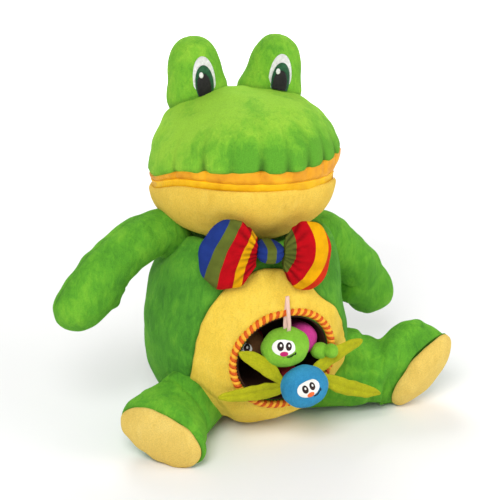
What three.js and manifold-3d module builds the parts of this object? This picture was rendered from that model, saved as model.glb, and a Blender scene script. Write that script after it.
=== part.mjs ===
// A sitting plush frog, in millimetres: +Z up, the frog faces -Y, its left hand is on +X.
// The origin is the middle of the flat patch that it sits on.
// Head and limbs are stuffed members that turn on ball-shaped roots in the stuffed torso.
import * as THREE from "three";
import { mergeVertices } from "three/addons/utils/BufferGeometryUtils.js";
import Module from "manifold-3d";

const wasm = await Module();
wasm.setup();

// Fabric and clearances
const plush_thickness = 2.5;
const lining_thickness = 1.6;
const seam_gap = 0.3;
const joint_gap = 0.6;
const cut_overrun = 60;
const floor_cut = 0.5;

// Torso, an egg
const torso_half_width = 96;
const torso_front_depth = 91;
const torso_back_depth = 86;
const torso_rise = 113;
const torso_drop = 83;
const shoulder_squareness = 2.35;
const seat_squareness = 2.3;

// Belly panel and pocket, as half angles from the middle of the belly
const pocket_wide_deg = 31;
const pocket_tall_deg = 28;
const panel_wide_deg = 54;
const panel_top_deg = 42;
const panel_bottom_deg = 84;
const panel_squareness = 2.6;
const panel_roll_deg = 14;
const pocket_depth = 84;
const pocket_squareness = 3.6;
const piping_radius = 3.4;

// Neck
const neck_radius = 30;
const neck_height = 182;
const neck_set_back = 8;
const neck_turn_deg = [-10, 14];

// Head, in its own frame: the mouth lies in the plane z = 0
const head_height = 222;
const head_set_back = 10;
const head_turn_deg = -4;
const head_tilt_deg = 6;
const head_roll_deg = 3;
const head_nod_deg = [-8, 2];
const snout_half_width = 86;
const snout_front_depth = 94;
const snout_back_depth = 70;
const snout_rise = 56;
const snout_lip_height = 25;
const snout_squareness = 2.25;
const palate_squareness = 7;
const lip_seam_height = 18;
const lip_seam_corner_height = 11;
const jaw_half_width = 84;
const jaw_front_depth = 90;
const jaw_back_depth = 68;
const jaw_lip_depth = 7;
const jaw_drop = 46;
const jaw_squareness = 2;
const jaw_lip_squareness = 5;
const floor_seam_depth = 2.5;
const mouth_gap = 0.6;

// Eye bumps and embroidered eyes, in the head's frame
const bump_half_width = 25;
const bump_half_depth = 23;
const bump_half_height = 40;
const bump_squareness = 2.4;
const bump_half_spacing = 37.5;
const bump_height = 86;
const bump_set_back = 20;
const bump_splay_deg = 7;
const eye_half_width = 10.5;
const eye_half_height = 18.5;
const eye_rise_deg = [4, -2, -8];
const eye_turn_in_deg = 4;
const eye_patch_thickness = 1.2;
const iris_share = 0.72;
const pupil_share = 0.5;

// Arms: each runs out along its own heading, by stretches of its spine
const shoulder_half_span = 64;
const shoulder_height = 156;
const shoulder_set_back = 12;
const arm_root_radius = 18;
const arm_radius = 19.5;
const hand_half_width = 30;
const hand_half_thickness = 18;
const arm_length = 154;
const arm_stretch_shares = { right: [0.235, 0.2, 0.22, 0.18, 0.165], left: [0.155, 0.22, 0.22, 0.2, 0.2] };
const arm_sweep_deg = { right: -5, left: 26 };
const arm_rise_deg = { right: [53, -14, -42, -54, -64], left: [8, -42, -50, -54, -58] };
const arm_swing_deg = [-35, 35];

// Legs: a round thigh, then a boot-like foot with a domed sole
const hip_half_span = 50;
const hip_forward = 22;
const leg_root_radius = 33;
const leg_radius = 29.5;
const foot_half_width = 25;
const foot_half_length = 41;
const sole_reach = { right: 80, left: 101 };
const sole_height = { right: 26, left: 33 };
const sole_dome = 11;
const leg_splay_deg = { right: 51, left: 77 };
const foot_roll_deg = { right: 70, left: 6 };
const foot_flex_deg = { right: 6, left: 36 };
const leg_swing_deg = [-12, 12];

// Bow tie
const bow_turn_deg = -12;
const bow_roll_deg = 5;
const bow_reach = 80;
const bow_height = 182.5;
const bow_half_span = 58;
const bow_half_height = 32;
const bow_half_thickness = 11;
const knot_half_width = 12;
const knot_half_height = 9.5;
const knot_half_thickness = 12.5;
const knot_back_depth = 22.5;
const bow_tilt_deg = [-4, 4];
const knot_squareness = 5;
const knot_under_squareness = 2.2;

// Pocket bugs: their places are shares of the pocket's half width, from the middle of its rim
const inchworm_head_half_width = 21;
const inchworm_head_half_height = 17;
const inchworm_place_share = [-0.02, 0.04, 0.26];
const inchworm_segment_radius = 14;
const inchworm_segment_place_shares = [
  [0.42, 0.32, 0.26],
  [0.4, 0.75, 0.16],
];
const inchworm_foot_radius = 6;
const inchworm_foot_place_shares = [
  [0.57, 0.07, -0.01],
  [0.75, -0.05, 0.083],
];
const dragonfly_head_half_width = 20.5;
const dragonfly_head_half_height = 18;
const dragonfly_place_share = [0.18, -0.26, -0.45];
const dragonfly_body_radius = 9.5;
const dragonfly_body_length = 52;
const wing_half_width = 8.5;
const wing_half_thickness = 1;
const wing_place_shares = [
  { root: [-0.1, 0.14, -0.04], end: [-1.46, 0.36, -0.06] },
  { root: [-0.36, 0.14, 0.08], end: [-1.06, 0.34, 0.74] },
  { root: [0.1, 0.14, 0.06], end: [1.38, 0.42, 0.53] },
  { root: [0.1, 0.14, -0.06], end: [1.67, 0.34, -0.61] },
];
const beetle_head_half_width = 14;
const beetle_head_half_height = 14;
const beetle_place_share = [-0.49, 0.57, 0.17];
const beetle_body_half_width = 15;
const beetle_body_half_height = 13;
const beetle_body_place_share = [-0.34, 1.01, 0.08];
const bug_depth_share = 0.9;
const bug_face_wide_deg = 34;
const bug_face_tall_deg = 25;
const bug_look_deg = { inchworm: [-25, 22, 0], dragonfly: [-10, 18, 20], beetle: [-45, 10, 0] };
const bug_patch_thickness = 1;
const tag_half_height = 15;
const tag_half_depth = 2.2;
const tag_sewn_in = 3;
const tag_width = 4.5;
const tag_thickness = 0.8;

// Mesh fineness
const torso_columns = 28;
const head_columns = 28;
const limb_columns = 16;
const bump_columns = 20;
const small_columns = 12;
const cord_columns = 8;

const GREEN = 0x63a52f;
const LIGHT_GREEN = 0x85b93f;
const YELLOW = 0xe6c458;
const GOLD = 0xe0a51c;
const ORANGE = 0xd8781c;
const WHITE = 0xf6f5ee;
const BLACK = 0x16130f;
const CRIMSON = 0xa3152a;

const { cos, sin, abs, sign: signOf, hypot, PI } = Math;
const rad = THREE.MathUtils.degToRad;
const vec = (x, y, z) => new THREE.Vector3(x, y, z);
const up = vec(0, 0, 1);
const between = (a, b, t) => a + (b - a) * t;
const power = (value, exponent) => signOf(value) * abs(value) ** exponent;
const angles = (columns) => Array.from({ length: columns }, (_, j) => (2 * PI * j) / columns);
const steps = (rows) => Array.from({ length: rows + 1 }, (_, i) => i / rows);
const sides = { right: -1, left: 1 };

// A closed surface from rings of points; a ring of one point is a pole.
// Wrap joins the last ring to the first.
function surface(rings, wrap = false) {
  const positions = [];
  const face = (...corners) => corners.forEach((p) => positions.push(p.x, p.y, p.z));
  const count = rings.length - (wrap ? 0 : 1);
  for (let i = 0; i < count; i++) {
    const a = rings[i];
    const b = rings[(i + 1) % rings.length];
    const n = Math.max(a.length, b.length);
    for (let j = 0; j < n; j++) {
      const k = (j + 1) % n;
      if (a.length === 1) face(a[0], b[j], b[k]);
      else if (b.length === 1) face(a[k], a[j], b[0]);
      else if (a[j].distanceTo(b[k]) <= b[j].distanceTo(a[k])) {
        face(a[j], b[j], b[k]);
        face(a[j], b[k], a[k]);
      } else {
        face(a[j], b[j], a[k]);
        face(b[j], b[k], a[k]);
      }
    }
  }
  const geometry = new THREE.BufferGeometry();
  geometry.setAttribute("position", new THREE.Float32BufferAttribute(positions, 3));
  return geometry;
}

function volumeOf(geometry) {
  const p = geometry.getAttribute("position");
  const [a, b, c] = [vec(), vec(), vec()];
  let sum = 0;
  for (let i = 0; i < p.count; i += 3) {
    a.fromBufferAttribute(p, i);
    b.fromBufferAttribute(p, i + 1);
    c.fromBufferAttribute(p, i + 2);
    sum += a.dot(b.cross(c));
  }
  return sum;
}

// A three.js geometry as a solid that can be cut and joined.
function solid(geometry) {
  const flat = geometry.index ? geometry.toNonIndexed() : geometry.clone();
  flat.deleteAttribute("normal");
  flat.deleteAttribute("uv");
  const inside_out = volumeOf(flat) < 0;
  const merged = mergeVertices(flat, 1e-3);
  const triVerts = new Uint32Array(merged.index.array);
  for (let i = 0; inside_out && i < triVerts.length; i += 3) {
    [triVerts[i + 1], triVerts[i + 2]] = [triVerts[i + 2], triVerts[i + 1]];
  }
  const vertProperties = merged.attributes.position.array;
  return new wasm.Manifold(new wasm.Mesh({ numProp: 3, vertProperties, triVerts }));
}

const fromRings = (rings, wrap) => solid(surface(rings, wrap));
const union = (solids) => wasm.Manifold.union(solids);
const moved = (made, matrix) => made.transform(matrix.elements);

// Of the lumps that a cut leaves, the largest one.
const largest = (made) => made.decompose().reduce((a, b) => (a.volume() > b.volume() ? a : b));

const frog = new THREE.Group();

function add(name, made, color, roughness = 0.95) {
  const mesh_data = largest(made).getMesh();
  const geometry = new THREE.BufferGeometry();
  geometry.setAttribute("position", new THREE.BufferAttribute(new Float32Array(mesh_data.vertProperties), 3));
  geometry.setIndex(new THREE.BufferAttribute(new Uint32Array(mesh_data.triVerts), 1));
  const mesh = new THREE.Mesh(geometry, new THREE.MeshStandardMaterial({ color, roughness, metalness: 0 }));
  mesh.name = name;
  frog.add(mesh);
}

function ball(radius, at, columns = limb_columns) {
  return solid(new THREE.SphereGeometry(radius, columns, columns / 2).translate(at.x, at.y, at.z));
}

function block(low, high) {
  const size = high.clone().sub(low);
  const middle = high.clone().add(low).divideScalar(2);
  return solid(new THREE.BoxGeometry(size.x, size.y, size.z).translate(middle.x, middle.y, middle.z));
}

// A turn about an axis through a pivot.
function turn(pivot, axis, degrees) {
  return new THREE.Matrix4()
    .makeTranslation(pivot)
    .multiply(new THREE.Matrix4().makeRotationAxis(axis, rad(degrees)))
    .multiply(new THREE.Matrix4().makeTranslation(pivot.clone().negate()));
}

// A convex room for what a moving solid sweeps, from its rest pose and both limits.
const sweptBy = (made, pivot, axis, limits) =>
  wasm.Manifold.hull([limits[0], 0, limits[1]].map((angle) => moved(made, turn(pivot, axis, angle))));

// An egg: half axes each way, and how square it is above and below its middle.
function egg(side, front, back, rise, drop, square_up, square_down) {
  return { side, front, back, rise, drop, square_up, square_down };
}

function inset(half, by) {
  return egg(
    half.side - by,
    half.front - by,
    half.back - by,
    half.rise - by,
    half.drop - by,
    half.square_up,
    half.square_down,
  );
}

function eggRadius(d, half) {
  const squareness = d.z > 0 ? half.square_up : half.square_down;
  const across = hypot(d.x / half.side, d.y / (d.y < 0 ? half.front : half.back));
  const upright = abs(d.z) / (d.z > 0 ? half.rise : half.drop);
  return (across ** squareness + upright ** squareness) ** (-1 / squareness);
}

const eggPoint = (half, center, d) => center.clone().addScaledVector(d, eggRadius(d, half));

// A direction at an angle polar from forward, turned by phi round it; forward and over are unit and square.
function around(forward, over, polar, phi) {
  const beside = forward.clone().cross(over);
  return forward
    .clone()
    .multiplyScalar(cos(polar))
    .addScaledVector(beside, sin(polar) * cos(phi))
    .addScaledVector(over, sin(polar) * sin(phi));
}

// An egg from its top to its bottom; row shares are the polar angles of its rings as shares of a half turn.
function eggSolid(half, center, columns, row_shares = steps(columns / 2).slice(1, -1)) {
  const point = (t, phi) => eggPoint(half, center, around(up, vec(0, 1, 0), t * PI, phi));
  const ring = (t) => angles(columns).map((phi) => point(t, phi));
  return fromRings([[ring(0)[0]], ...row_shares.map(ring), [ring(1)[0]]]);
}

// A thin patch that follows an egg, out to an oval edge round one direction of it.
function eggPatch(half, center, forward, over, edgeAngle, lift, thickness, columns, rows = 3) {
  const ring = (t, by) =>
    angles(columns).map((phi) =>
      eggPoint(inset(half, -by), center, around(forward, over, t * edgeAngle(phi), phi)),
    );
  const outside = steps(rows).slice(1).map((t) => ring(t, lift + thickness));
  const inside = steps(rows).slice(1).map((t) => ring(t, lift));
  const top = eggPoint(inset(half, -lift - thickness), center, forward);
  const bottom = eggPoint(inset(half, -lift), center, forward);
  return fromRings([[top], ...outside, ...inside.reverse(), [bottom]]);
}

// The reach of an oval at an angle phi.
function oval(phi, wide, tall, squareness = 2) {
  return (abs(cos(phi) / wide) ** squareness + abs(sin(phi) / tall) ** squareness) ** (-1 / squareness);
}

// Torso
const torso_half = egg(
  torso_half_width,
  torso_front_depth,
  torso_back_depth,
  torso_rise,
  torso_drop,
  shoulder_squareness,
  seat_squareness,
);
const torso_center = vec(0, 0, torso_drop - floor_cut);
const forward = vec(0, -1, 0);

const torsoPoint = (alpha, phi, by) =>
  eggPoint(inset(torso_half, by), torso_center, around(forward, up, alpha, PI - phi));
const torsoRing = (alphaOf, by) => angles(torso_columns).map((phi) => torsoPoint(alphaOf(phi), phi, by));
const pocketAngle = (phi) => rad(oval(phi, pocket_wide_deg, pocket_tall_deg));

function panelAngle(phi) {
  const rolled = phi + rad(panel_roll_deg);
  const tall_deg = sin(rolled) > 0 ? panel_top_deg : panel_bottom_deg;
  return rad(oval(rolled, panel_wide_deg, tall_deg, panel_squareness));
}

const seam_angle = seam_gap / torso_front_depth;
const panel_rows = 4;
const back_rows = 9;

const below_floor = block(
  vec(-4 * torso_half_width, -4 * torso_half_width, -cut_overrun),
  vec(4 * torso_half_width, 4 * torso_half_width, 0),
);

// The torso's egg, stepped down where the belly panel lies on it.
function torsoBody() {
  const recess = plush_thickness + seam_gap;
  const edge = (phi) => panelAngle(phi) + seam_angle;
  const inPanel = (t) => torsoRing((phi) => between(pocketAngle(phi), panelAngle(phi), t), recess);
  const behind = (t) => torsoRing((phi) => between(edge(phi), PI, t), 0);
  return fromRings([
    [torsoPoint(0, 0, recess)],
    torsoRing((phi) => pocketAngle(phi) / 2, recess),
    ...steps(panel_rows).slice(0, -1).map(inPanel),
    torsoRing(edge, recess),
    ...steps(back_rows).slice(0, -1).map(behind),
    [torsoPoint(PI, 0, 0)],
  ]);
}

function bellyPanel() {
  const ring = (t, by) => torsoRing((phi) => between(pocketAngle(phi), panelAngle(phi), t), by);
  const outside = steps(panel_rows).map((t) => ring(t, 0));
  const inside = steps(panel_rows).map((t) => ring(t, plush_thickness));
  return fromRings([...outside, ...inside.reverse()], true);
}

// A round tube along a closed ring of points on the torso.
function rimTube(radius) {
  const path = torsoRing(pocketAngle, 0);
  const rings = path.map((p, j) => {
    const along = path[(j + 1) % path.length].clone().sub(path.at(j - 1)).normalize();
    const outward = p.clone().sub(torso_center).normalize();
    const beside = along.clone().cross(outward).normalize();
    const over = beside.clone().cross(along);
    return angles(cord_columns).map((a) =>
      p
        .clone()
        .addScaledVector(beside, radius * cos(a))
        .addScaledVector(over, radius * sin(a)),
    );
  });
  return fromRings(rings, true);
}

// The pocket's bag: rings from its rim to its closed end, each moved outwards by outset.
const pocket_depth_shares = [0, 0.35, 0.65, 0.85, 0.96];
function pocketRing(share, outset) {
  return angles(torso_columns).map((phi) => {
    const edge = torsoPoint(pocketAngle(phi), phi, plush_thickness / 2);
    const narrowing = (1 - share ** pocket_squareness) ** (1 / pocket_squareness);
    const rim = vec(edge.x, 0, edge.z - torso_center.z);
    rim.setLength((rim.length() - piping_radius) * narrowing + outset);
    const end_y = -torso_front_depth + pocket_depth;
    return vec(rim.x, between(edge.y, end_y, share), torso_center.z + rim.z);
  });
}

const pocketRings = (outset) => [
  ...pocket_depth_shares.map((share) => pocketRing(share, outset)),
  [vec(0, -torso_front_depth + pocket_depth + outset, torso_center.z)],
];

const pocketLining = () => fromRings([...pocketRings(0).reverse(), ...pocketRings(-lining_thickness)]);

// The pocket's bag run out past the belly, to cut all that lies in it.
function pocketCutter(outset) {
  const rings = pocketRings(outset);
  const front = rings[0].map((p) => vec(p.x, -torso_front_depth - cut_overrun, p.z));
  return fromRings([[vec(0, front[0].y, torso_center.z)], front, ...rings]);
}

// Head: its own frame, with the snout over the jaw
const neck_pivot = vec(0, neck_set_back, neck_height);
const head_frame = new THREE.Matrix4()
  .makeTranslation(0, head_set_back, head_height)
  .multiply(new THREE.Matrix4().makeRotationZ(rad(head_turn_deg)))
  .multiply(new THREE.Matrix4().makeRotationX(rad(-head_tilt_deg)))
  .multiply(new THREE.Matrix4().makeRotationY(rad(head_roll_deg)));
const nod_axis = vec(1, 0, 0).transformDirection(head_frame);

const snout_half = egg(
  snout_half_width,
  snout_front_depth,
  snout_back_depth,
  snout_rise,
  snout_lip_height,
  snout_squareness,
  palate_squareness,
);
const jaw_half = egg(
  jaw_half_width,
  jaw_front_depth,
  jaw_back_depth,
  jaw_lip_depth,
  jaw_drop,
  jaw_lip_squareness,
  jaw_squareness,
);
const snout_center = vec(0, 0, snout_lip_height + mouth_gap / 2);
const jaw_center = vec(0, 0, -jaw_lip_depth - mouth_gap / 2);

// The space on one side of a surface whose height follows how far forward it is.
function lipCutter(front_height, corner_height, to_height) {
  const reach = 2 * snout_front_depth;
  const rows = [-reach, -snout_front_depth, -snout_front_depth / 2, 0, reach];
  const ring = (x) => {
    const bottom = rows.map((y) => {
      const share = THREE.MathUtils.clamp(-y / snout_front_depth, 0, 1);
      return vec(x, y, between(corner_height, front_height, share));
    });
    return [...bottom, vec(x, reach, to_height), vec(x, -reach, to_height)];
  };
  const end = (x) => [vec(x, 0, (to_height + front_height) / 2)];
  return fromRings([end(-reach), ring(-reach), ring(reach), end(reach)]);
}

const snout_row_shares = [0.1, 0.19, 0.28, 0.36, 0.43, 0.49, 0.53, 0.555, 0.575, 0.595, 0.63, 0.72];
const jaw_row_shares = [0.28, 0.41, 0.445, 0.462, 0.476, 0.49, 0.53, 0.58, 0.64, 0.71, 0.8, 0.9];
const snout_all = eggSolid(snout_half, snout_center, head_columns, snout_row_shares);
const jaw_all = eggSolid(jaw_half, jaw_center, head_columns, jaw_row_shares);
const above_lip = lipCutter(
  lip_seam_height + seam_gap,
  lip_seam_corner_height + seam_gap,
  snout_rise + cut_overrun,
);
const below_lip = lipCutter(lip_seam_height, lip_seam_corner_height, -cut_overrun);
const floor_seam_height = jaw_center.z + jaw_lip_depth - floor_seam_depth;
const above_floor_seam = lipCutter(floor_seam_height + seam_gap, floor_seam_height + seam_gap, cut_overrun);
const below_floor_seam = lipCutter(floor_seam_height, floor_seam_height, -2 * cut_overrun);

const neck_ball = ball(neck_radius, neck_pivot);

// Room for the head over the torso, through its nod and its turn
const jaw_room = moved(eggSolid(inset(jaw_half, -joint_gap), jaw_center, small_columns * 2), head_frame);
const nod_room = sweptBy(jaw_room, neck_pivot, nod_axis, head_nod_deg);
const head_room = sweptBy(nod_room, neck_pivot, up, neck_turn_deg);

// Room for the neck's ball in the torso as it turns, and in the jaw as the jaw nods round it
const neck_space = ball(neck_radius + joint_gap, neck_pivot);
const neck_room = sweptBy(neck_space, neck_pivot, up, neck_turn_deg);
const neck_room_in_jaw = sweptBy(neck_space, neck_pivot, nod_axis, head_nod_deg.map((angle) => -angle));

// Eye bumps: eggs on top of the snout, leaning outwards
const bump_half = egg(
  bump_half_width,
  bump_half_depth,
  bump_half_depth,
  bump_half_height,
  bump_half_height,
  bump_squareness,
  bump_squareness,
);

function bumpFrame(side) {
  const at = vec(sides[side] * bump_half_spacing, bump_set_back, bump_height);
  const place = new THREE.Matrix4().makeTranslation(at);
  const lean = new THREE.Matrix4().makeRotationY(rad(sides[side] * bump_splay_deg));
  return head_frame.clone().multiply(place).multiply(lean);
}

const origin = vec(0, 0, 0);

function eyePatch(side, share, layer) {
  const looking = forward
    .clone()
    .applyAxisAngle(vec(1, 0, 0), -rad(eye_rise_deg[layer]))
    .applyAxisAngle(up, -rad(sides[side] * eye_turn_in_deg));
  const over = vec(1, 0, 0).cross(looking).negate().normalize();
  const edgeAngle = (phi) =>
    oval(phi, (share * eye_half_width) / bump_half_depth, (share * eye_half_height) / bump_half_depth);
  const lift = seam_gap + layer * (eye_patch_thickness + seam_gap);
  return eggPatch(bump_half, origin, looking, over, edgeAngle, lift, eye_patch_thickness, limb_columns);
}

// A stuffed member: rings round a spine, each with its own half sizes over, under and beside the spine.
function lofted(stations, columns, grow = 0) {
  const ring = (s) =>
    angles(columns).map((a) => {
      const over = cos(a) > 0 ? s.over : s.under;
      return s.at
        .clone()
        .addScaledVector(s.over_axis, (over + grow) * cos(a))
        .addScaledVector(s.beside_axis, (s.beside + grow) * sin(a));
    });
  const first = stations[0];
  const last = stations.at(-1);
  const start = first.at.clone().addScaledVector(first.along, -first.cap - grow);
  const end = last.at.clone().addScaledVector(last.along, last.cap + grow);
  return fromRings([[start], ...stations.map(ring), [end]]);
}

// Arms
const shoulders = {};
const arm_spine = {};
for (const side in sides) {
  shoulders[side] = vec(sides[side] * shoulder_half_span, shoulder_set_back, shoulder_height);
  const outward = vec(sides[side], 0, 0).applyAxisAngle(up, rad(sides[side] * arm_sweep_deg[side]));
  const points = [shoulders[side].clone()];
  arm_stretch_shares[side].forEach((stretch_share, i) => {
    const length = arm_length * stretch_share;
    const rise = rad(arm_rise_deg[side][i]);
    const step = outward.clone().multiplyScalar(length * cos(rise)).addScaledVector(up, length * sin(rise));
    points.push(points.at(-1).clone().add(step));
  });
  arm_spine[side] = { curve: new THREE.CatmullRomCurve3(points, false, "centripetal"), outward };
}

// Along the arm: the share of the spine, then the shares of the root, arm and hand sizes there
const arm_section_shares = [
  [0.06, 0.92, 0, 0],
  [0.2, 0.8, 0, 0],
  [0.36, 0, 1, 0],
  [0.5, 0, 1, 0],
  [0.62, 0, 1, 0],
  [0.72, 0, 0.6, 0.4],
  [0.82, 0, 0.05, 0.95],
  [0.91, 0, 0, 0.86],
  [0.97, 0, 0, 0.55],
];

function armStations(side) {
  const { curve, outward } = arm_spine[side];
  const level = outward.clone().cross(up).normalize();
  return arm_section_shares.map(([share, root_share, arm_share, hand_share]) => {
    const along = curve.getTangentAt(share);
    const rounded = root_share * arm_root_radius + arm_share * arm_radius;
    return {
      at: curve.getPointAt(share),
      along,
      over_axis: level,
      beside_axis: along.clone().cross(level).normalize(),
      over: rounded + hand_share * hand_half_thickness,
      under: rounded + hand_share * hand_half_thickness,
      beside: rounded + hand_share * hand_half_width,
      cap: share > 0.9 ? (1 - share) * curve.getLength() : 0,
    };
  });
}

function armBody(side, grow = 0) {
  const member = lofted(armStations(side), limb_columns, grow);
  return union([member, ball(arm_root_radius + grow, shoulders[side])]);
}

// Legs
const hips = {};
const sole_frames = {};
for (const side in sides) {
  hips[side] = vec(sides[side] * hip_half_span, -hip_forward, leg_root_radius - floor_cut);
  const splay = rad(sides[side] * leg_splay_deg[side]);
  const outward = forward.clone().applyAxisAngle(up, splay);
  const level = outward.clone().cross(up).multiplyScalar(-sides[side]);
  const toe = up
    .clone()
    .multiplyScalar(cos(rad(foot_roll_deg[side])))
    .addScaledVector(level, sin(rad(foot_roll_deg[side])));
  const beside = outward.clone().cross(toe);
  const normal = outward.clone().applyAxisAngle(beside, rad(foot_flex_deg[side]));
  const toe_flexed = toe.clone().applyAxisAngle(beside, rad(foot_flex_deg[side]));
  if (normal.z > outward.z) {
    normal.copy(outward.clone().applyAxisAngle(beside, -rad(foot_flex_deg[side])));
    toe_flexed.copy(toe.clone().applyAxisAngle(beside, -rad(foot_flex_deg[side])));
  }
  const at = hips[side].clone().addScaledVector(outward, sole_reach[side]);
  at.z = sole_height[side];
  sole_frames[side] = { at, normal, toe: toe_flexed, beside, outward };
}

// Along the leg: how far from the hip to the sole and how far the foot's turn has come,
// then the shares of the leg and of the foot in the half sizes over, under and beside it
const leg_section_shares = [
  [0.1, 0, [1, 0], [1, 0], [1, 0]],
  [0.3, 0, [1, 0], [1, 0], [1, 0]],
  [0.46, 0.15, [1, 0], [1, 0], [1, 0]],
  [0.58, 0.45, [0, 0.72], [1, 0], [1, 0]],
  [0.68, 0.7, [0, 0.92], [1.08, 0], [0, 0.96]],
  [0.8, 0.9, [0, 1.04], [0, 0.82], [0, 1.03]],
  [0.91, 1, [0, 1.04], [0, 0.97], [0, 1.05]],
  [1, 1, [0, 1], [0, 1], [0, 1]],
];

function legStations(side) {
  const { at, normal, toe, beside, outward } = sole_frames[side];
  const start = hips[side];
  const turned = (a, b, t) => a.clone().lerp(b, t).normalize();
  const half = ([leg_share, foot_share], foot_half) => leg_share * leg_radius + foot_share * foot_half;
  return leg_section_shares.map(([share, turning, over_shares, under_shares, beside_shares]) => {
    const along = turned(outward, normal, turning);
    const over_axis = turned(up, toe, turning);
    const beside_axis = along.clone().cross(over_axis).normalize();
    return {
      at: start.clone().lerp(at, share),
      along,
      over_axis: beside_axis.clone().cross(along),
      beside_axis,
      over: half(over_shares, foot_half_length),
      under: half(under_shares, foot_half_length),
      beside: half(beside_shares, foot_half_width),
      cap: 0,
    };
  });
}

function legBody(side, grow = 0) {
  const body = lofted(legStations(side), limb_columns, grow);
  return union([body, ball(leg_root_radius + grow, hips[side])]).subtract(below_floor);
}

// Up the sole's dome: the share of its rise, and of its reach there
const sole_ring_shares = [
  [0, 1],
  [0.45, 0.93],
  [0.8, 0.7],
  [0.96, 0.36],
];

function soleBody(side) {
  const rim = legStations(side).at(-1);
  const stations = sole_ring_shares.map(([rise_share, reach_share]) => ({
    ...rim,
    at: rim.at.clone().addScaledVector(rim.along, seam_gap + rise_share * sole_dome),
    over: rim.over * reach_share,
    under: rim.under * reach_share,
    beside: rim.beside * reach_share,
    cap: (1 - rise_share) * sole_dome,
  }));
  stations[0].cap = 0;
  return lofted(stations, limb_columns).subtract(below_floor);
}

// Room for the limbs in the torso: their roots, and the part of each limb next to its root
const limb_room = [];
const near_root = 4;
for (const side in sides) {
  const thigh = lofted(legStations(side).slice(0, near_root), limb_columns, joint_gap);
  const upper_arm = lofted(armStations(side).slice(0, near_root), limb_columns, joint_gap);
  const shoulder = ball(arm_root_radius + joint_gap, shoulders[side]);
  const hip = ball(leg_root_radius + joint_gap, hips[side]);
  const arm = wasm.Manifold.hull([shoulder, upper_arm]);
  const leg = wasm.Manifold.hull([hip, thigh]);
  limb_room.push(sweptBy(arm, shoulders[side], vec(1, 0, 0), arm_swing_deg));
  limb_room.push(sweptBy(leg, hips[side], up, leg_swing_deg));
}

const torso_cuts = union([neck_room, head_room, below_floor, ...limb_room]);
const piping_room = rimTube(piping_radius + seam_gap);
add("torso", torsoBody().subtract(union([torso_cuts, piping_room, pocketCutter(seam_gap)])), GREEN);
add("belly_panel", bellyPanel().subtract(torso_cuts).subtract(piping_room), YELLOW);
add("pocket_lining", pocketLining().subtract(piping_room), 0x2c1b12, 0.9);
add("pocket_piping", rimTube(piping_radius), ORANGE, 0.6);
add("neck", neck_ball.subtract(below_floor), GREEN);

add("jaw", moved(jaw_all.intersect(below_floor_seam), head_frame).subtract(neck_room_in_jaw), YELLOW);
add("mouth_floor", moved(jaw_all.intersect(above_floor_seam), head_frame), GOLD, 0.8);
add("snout", moved(snout_all.intersect(above_lip), head_frame), GREEN);
add("palate", moved(snout_all.intersect(below_lip), head_frame), GOLD, 0.8);

const snout_room = moved(
  eggSolid(inset(snout_half, -seam_gap), snout_center, head_columns, snout_row_shares),
  head_frame,
);
for (const side in sides) {
  const frame = bumpFrame(side);
  const bump = moved(eggSolid(bump_half, origin, bump_columns), frame);
  add(`eye_bump_${side}`, bump.subtract(snout_room), LIGHT_GREEN);
  add(`eye_white_${side}`, moved(eyePatch(side, 1, 0), frame).subtract(snout_room), WHITE, 0.5);
  add(`eye_iris_${side}`, moved(eyePatch(side, iris_share, 1), frame).subtract(snout_room), 0x23391c, 0.5);
  add(`eye_pupil_${side}`, moved(eyePatch(side, pupil_share, 2), frame).subtract(snout_room), BLACK, 0.5);
}

for (const side in sides) {
  add(`arm_${side}`, armBody(side), LIGHT_GREEN);
  add(`leg_${side}`, legBody(side), GREEN);
  add(`sole_${side}`, soleBody(side), YELLOW);
}

// Bow tie: two puffed loops, and a knot whose back is sewn to the chin
const bow_frame = new THREE.Matrix4()
  .makeRotationZ(rad(bow_turn_deg))
  .multiply(new THREE.Matrix4().makeTranslation(0, -bow_reach, bow_height))
  .multiply(new THREE.Matrix4().makeRotationY(rad(bow_roll_deg)));

// Along a loop: the share of its length, and the shares of its half height and half thickness there
const bow_shares = [
  [0, 0.3, 0.6],
  [0.25, 0.52, 0.85],
  [0.5, 0.82, 1],
  [0.75, 0.98, 1],
  [0.92, 0.9, 0.8],
  [0.99, 0.7, 0.45],
];

function bowLoop(side) {
  const length = bow_half_span - knot_half_width - seam_gap;
  const along = vec(sides[side], 0, 0);
  const stations = bow_shares.map(([share, height_share, thickness_share]) => ({
    at: along.clone().multiplyScalar(knot_half_width + seam_gap + share * length),
    along,
    over_axis: up,
    beside_axis: forward,
    over: bow_half_height * height_share,
    under: bow_half_height * height_share,
    beside: bow_half_thickness * thickness_share,
    cap: (1 - share) * length,
  }));
  stations[0].cap = 0;
  return lofted(stations, limb_columns);
}

const knot_half = egg(
  knot_half_width,
  knot_half_thickness,
  knot_back_depth,
  knot_half_height,
  knot_half_height,
  knot_squareness,
  knot_under_squareness,
);
for (const side in sides) add(`bow_loop_${side}`, moved(bowLoop(side), bow_frame), CRIMSON, 0.6);
const chin = moved(eggSolid(inset(jaw_half, -seam_gap), jaw_center, head_columns, jaw_row_shares), head_frame);
const bow_at = origin.clone().applyMatrix4(bow_frame);
const bow_axis = forward.clone().transformDirection(bow_frame);
const knot_room = sweptBy(chin, bow_at, bow_axis, bow_tilt_deg);
add("bow_knot", moved(eggSolid(knot_half, origin, limb_columns), bow_frame).subtract(knot_room), 0x1f3a86, 0.6);

// Pocket bugs
const pocket_half_width = torso_half_width * sin(rad(pocket_wide_deg));
const rim_center = torsoPoint(0, 0, plush_thickness);
const placed = (place_share) => rim_center.clone().add(vec(...place_share).multiplyScalar(pocket_half_width));

function bug(name, half_width, half_height, place_share) {
  const half = egg(
    half_width,
    half_height * bug_depth_share,
    half_height * bug_depth_share,
    half_height,
    half_height,
    2,
    2,
  );
  const at = placed(place_share);
  const made = eggSolid(half, at, limb_columns);
  const room = eggSolid(inset(half, -seam_gap), at, limb_columns);
  return { name, half, at, made, room };
}

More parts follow.
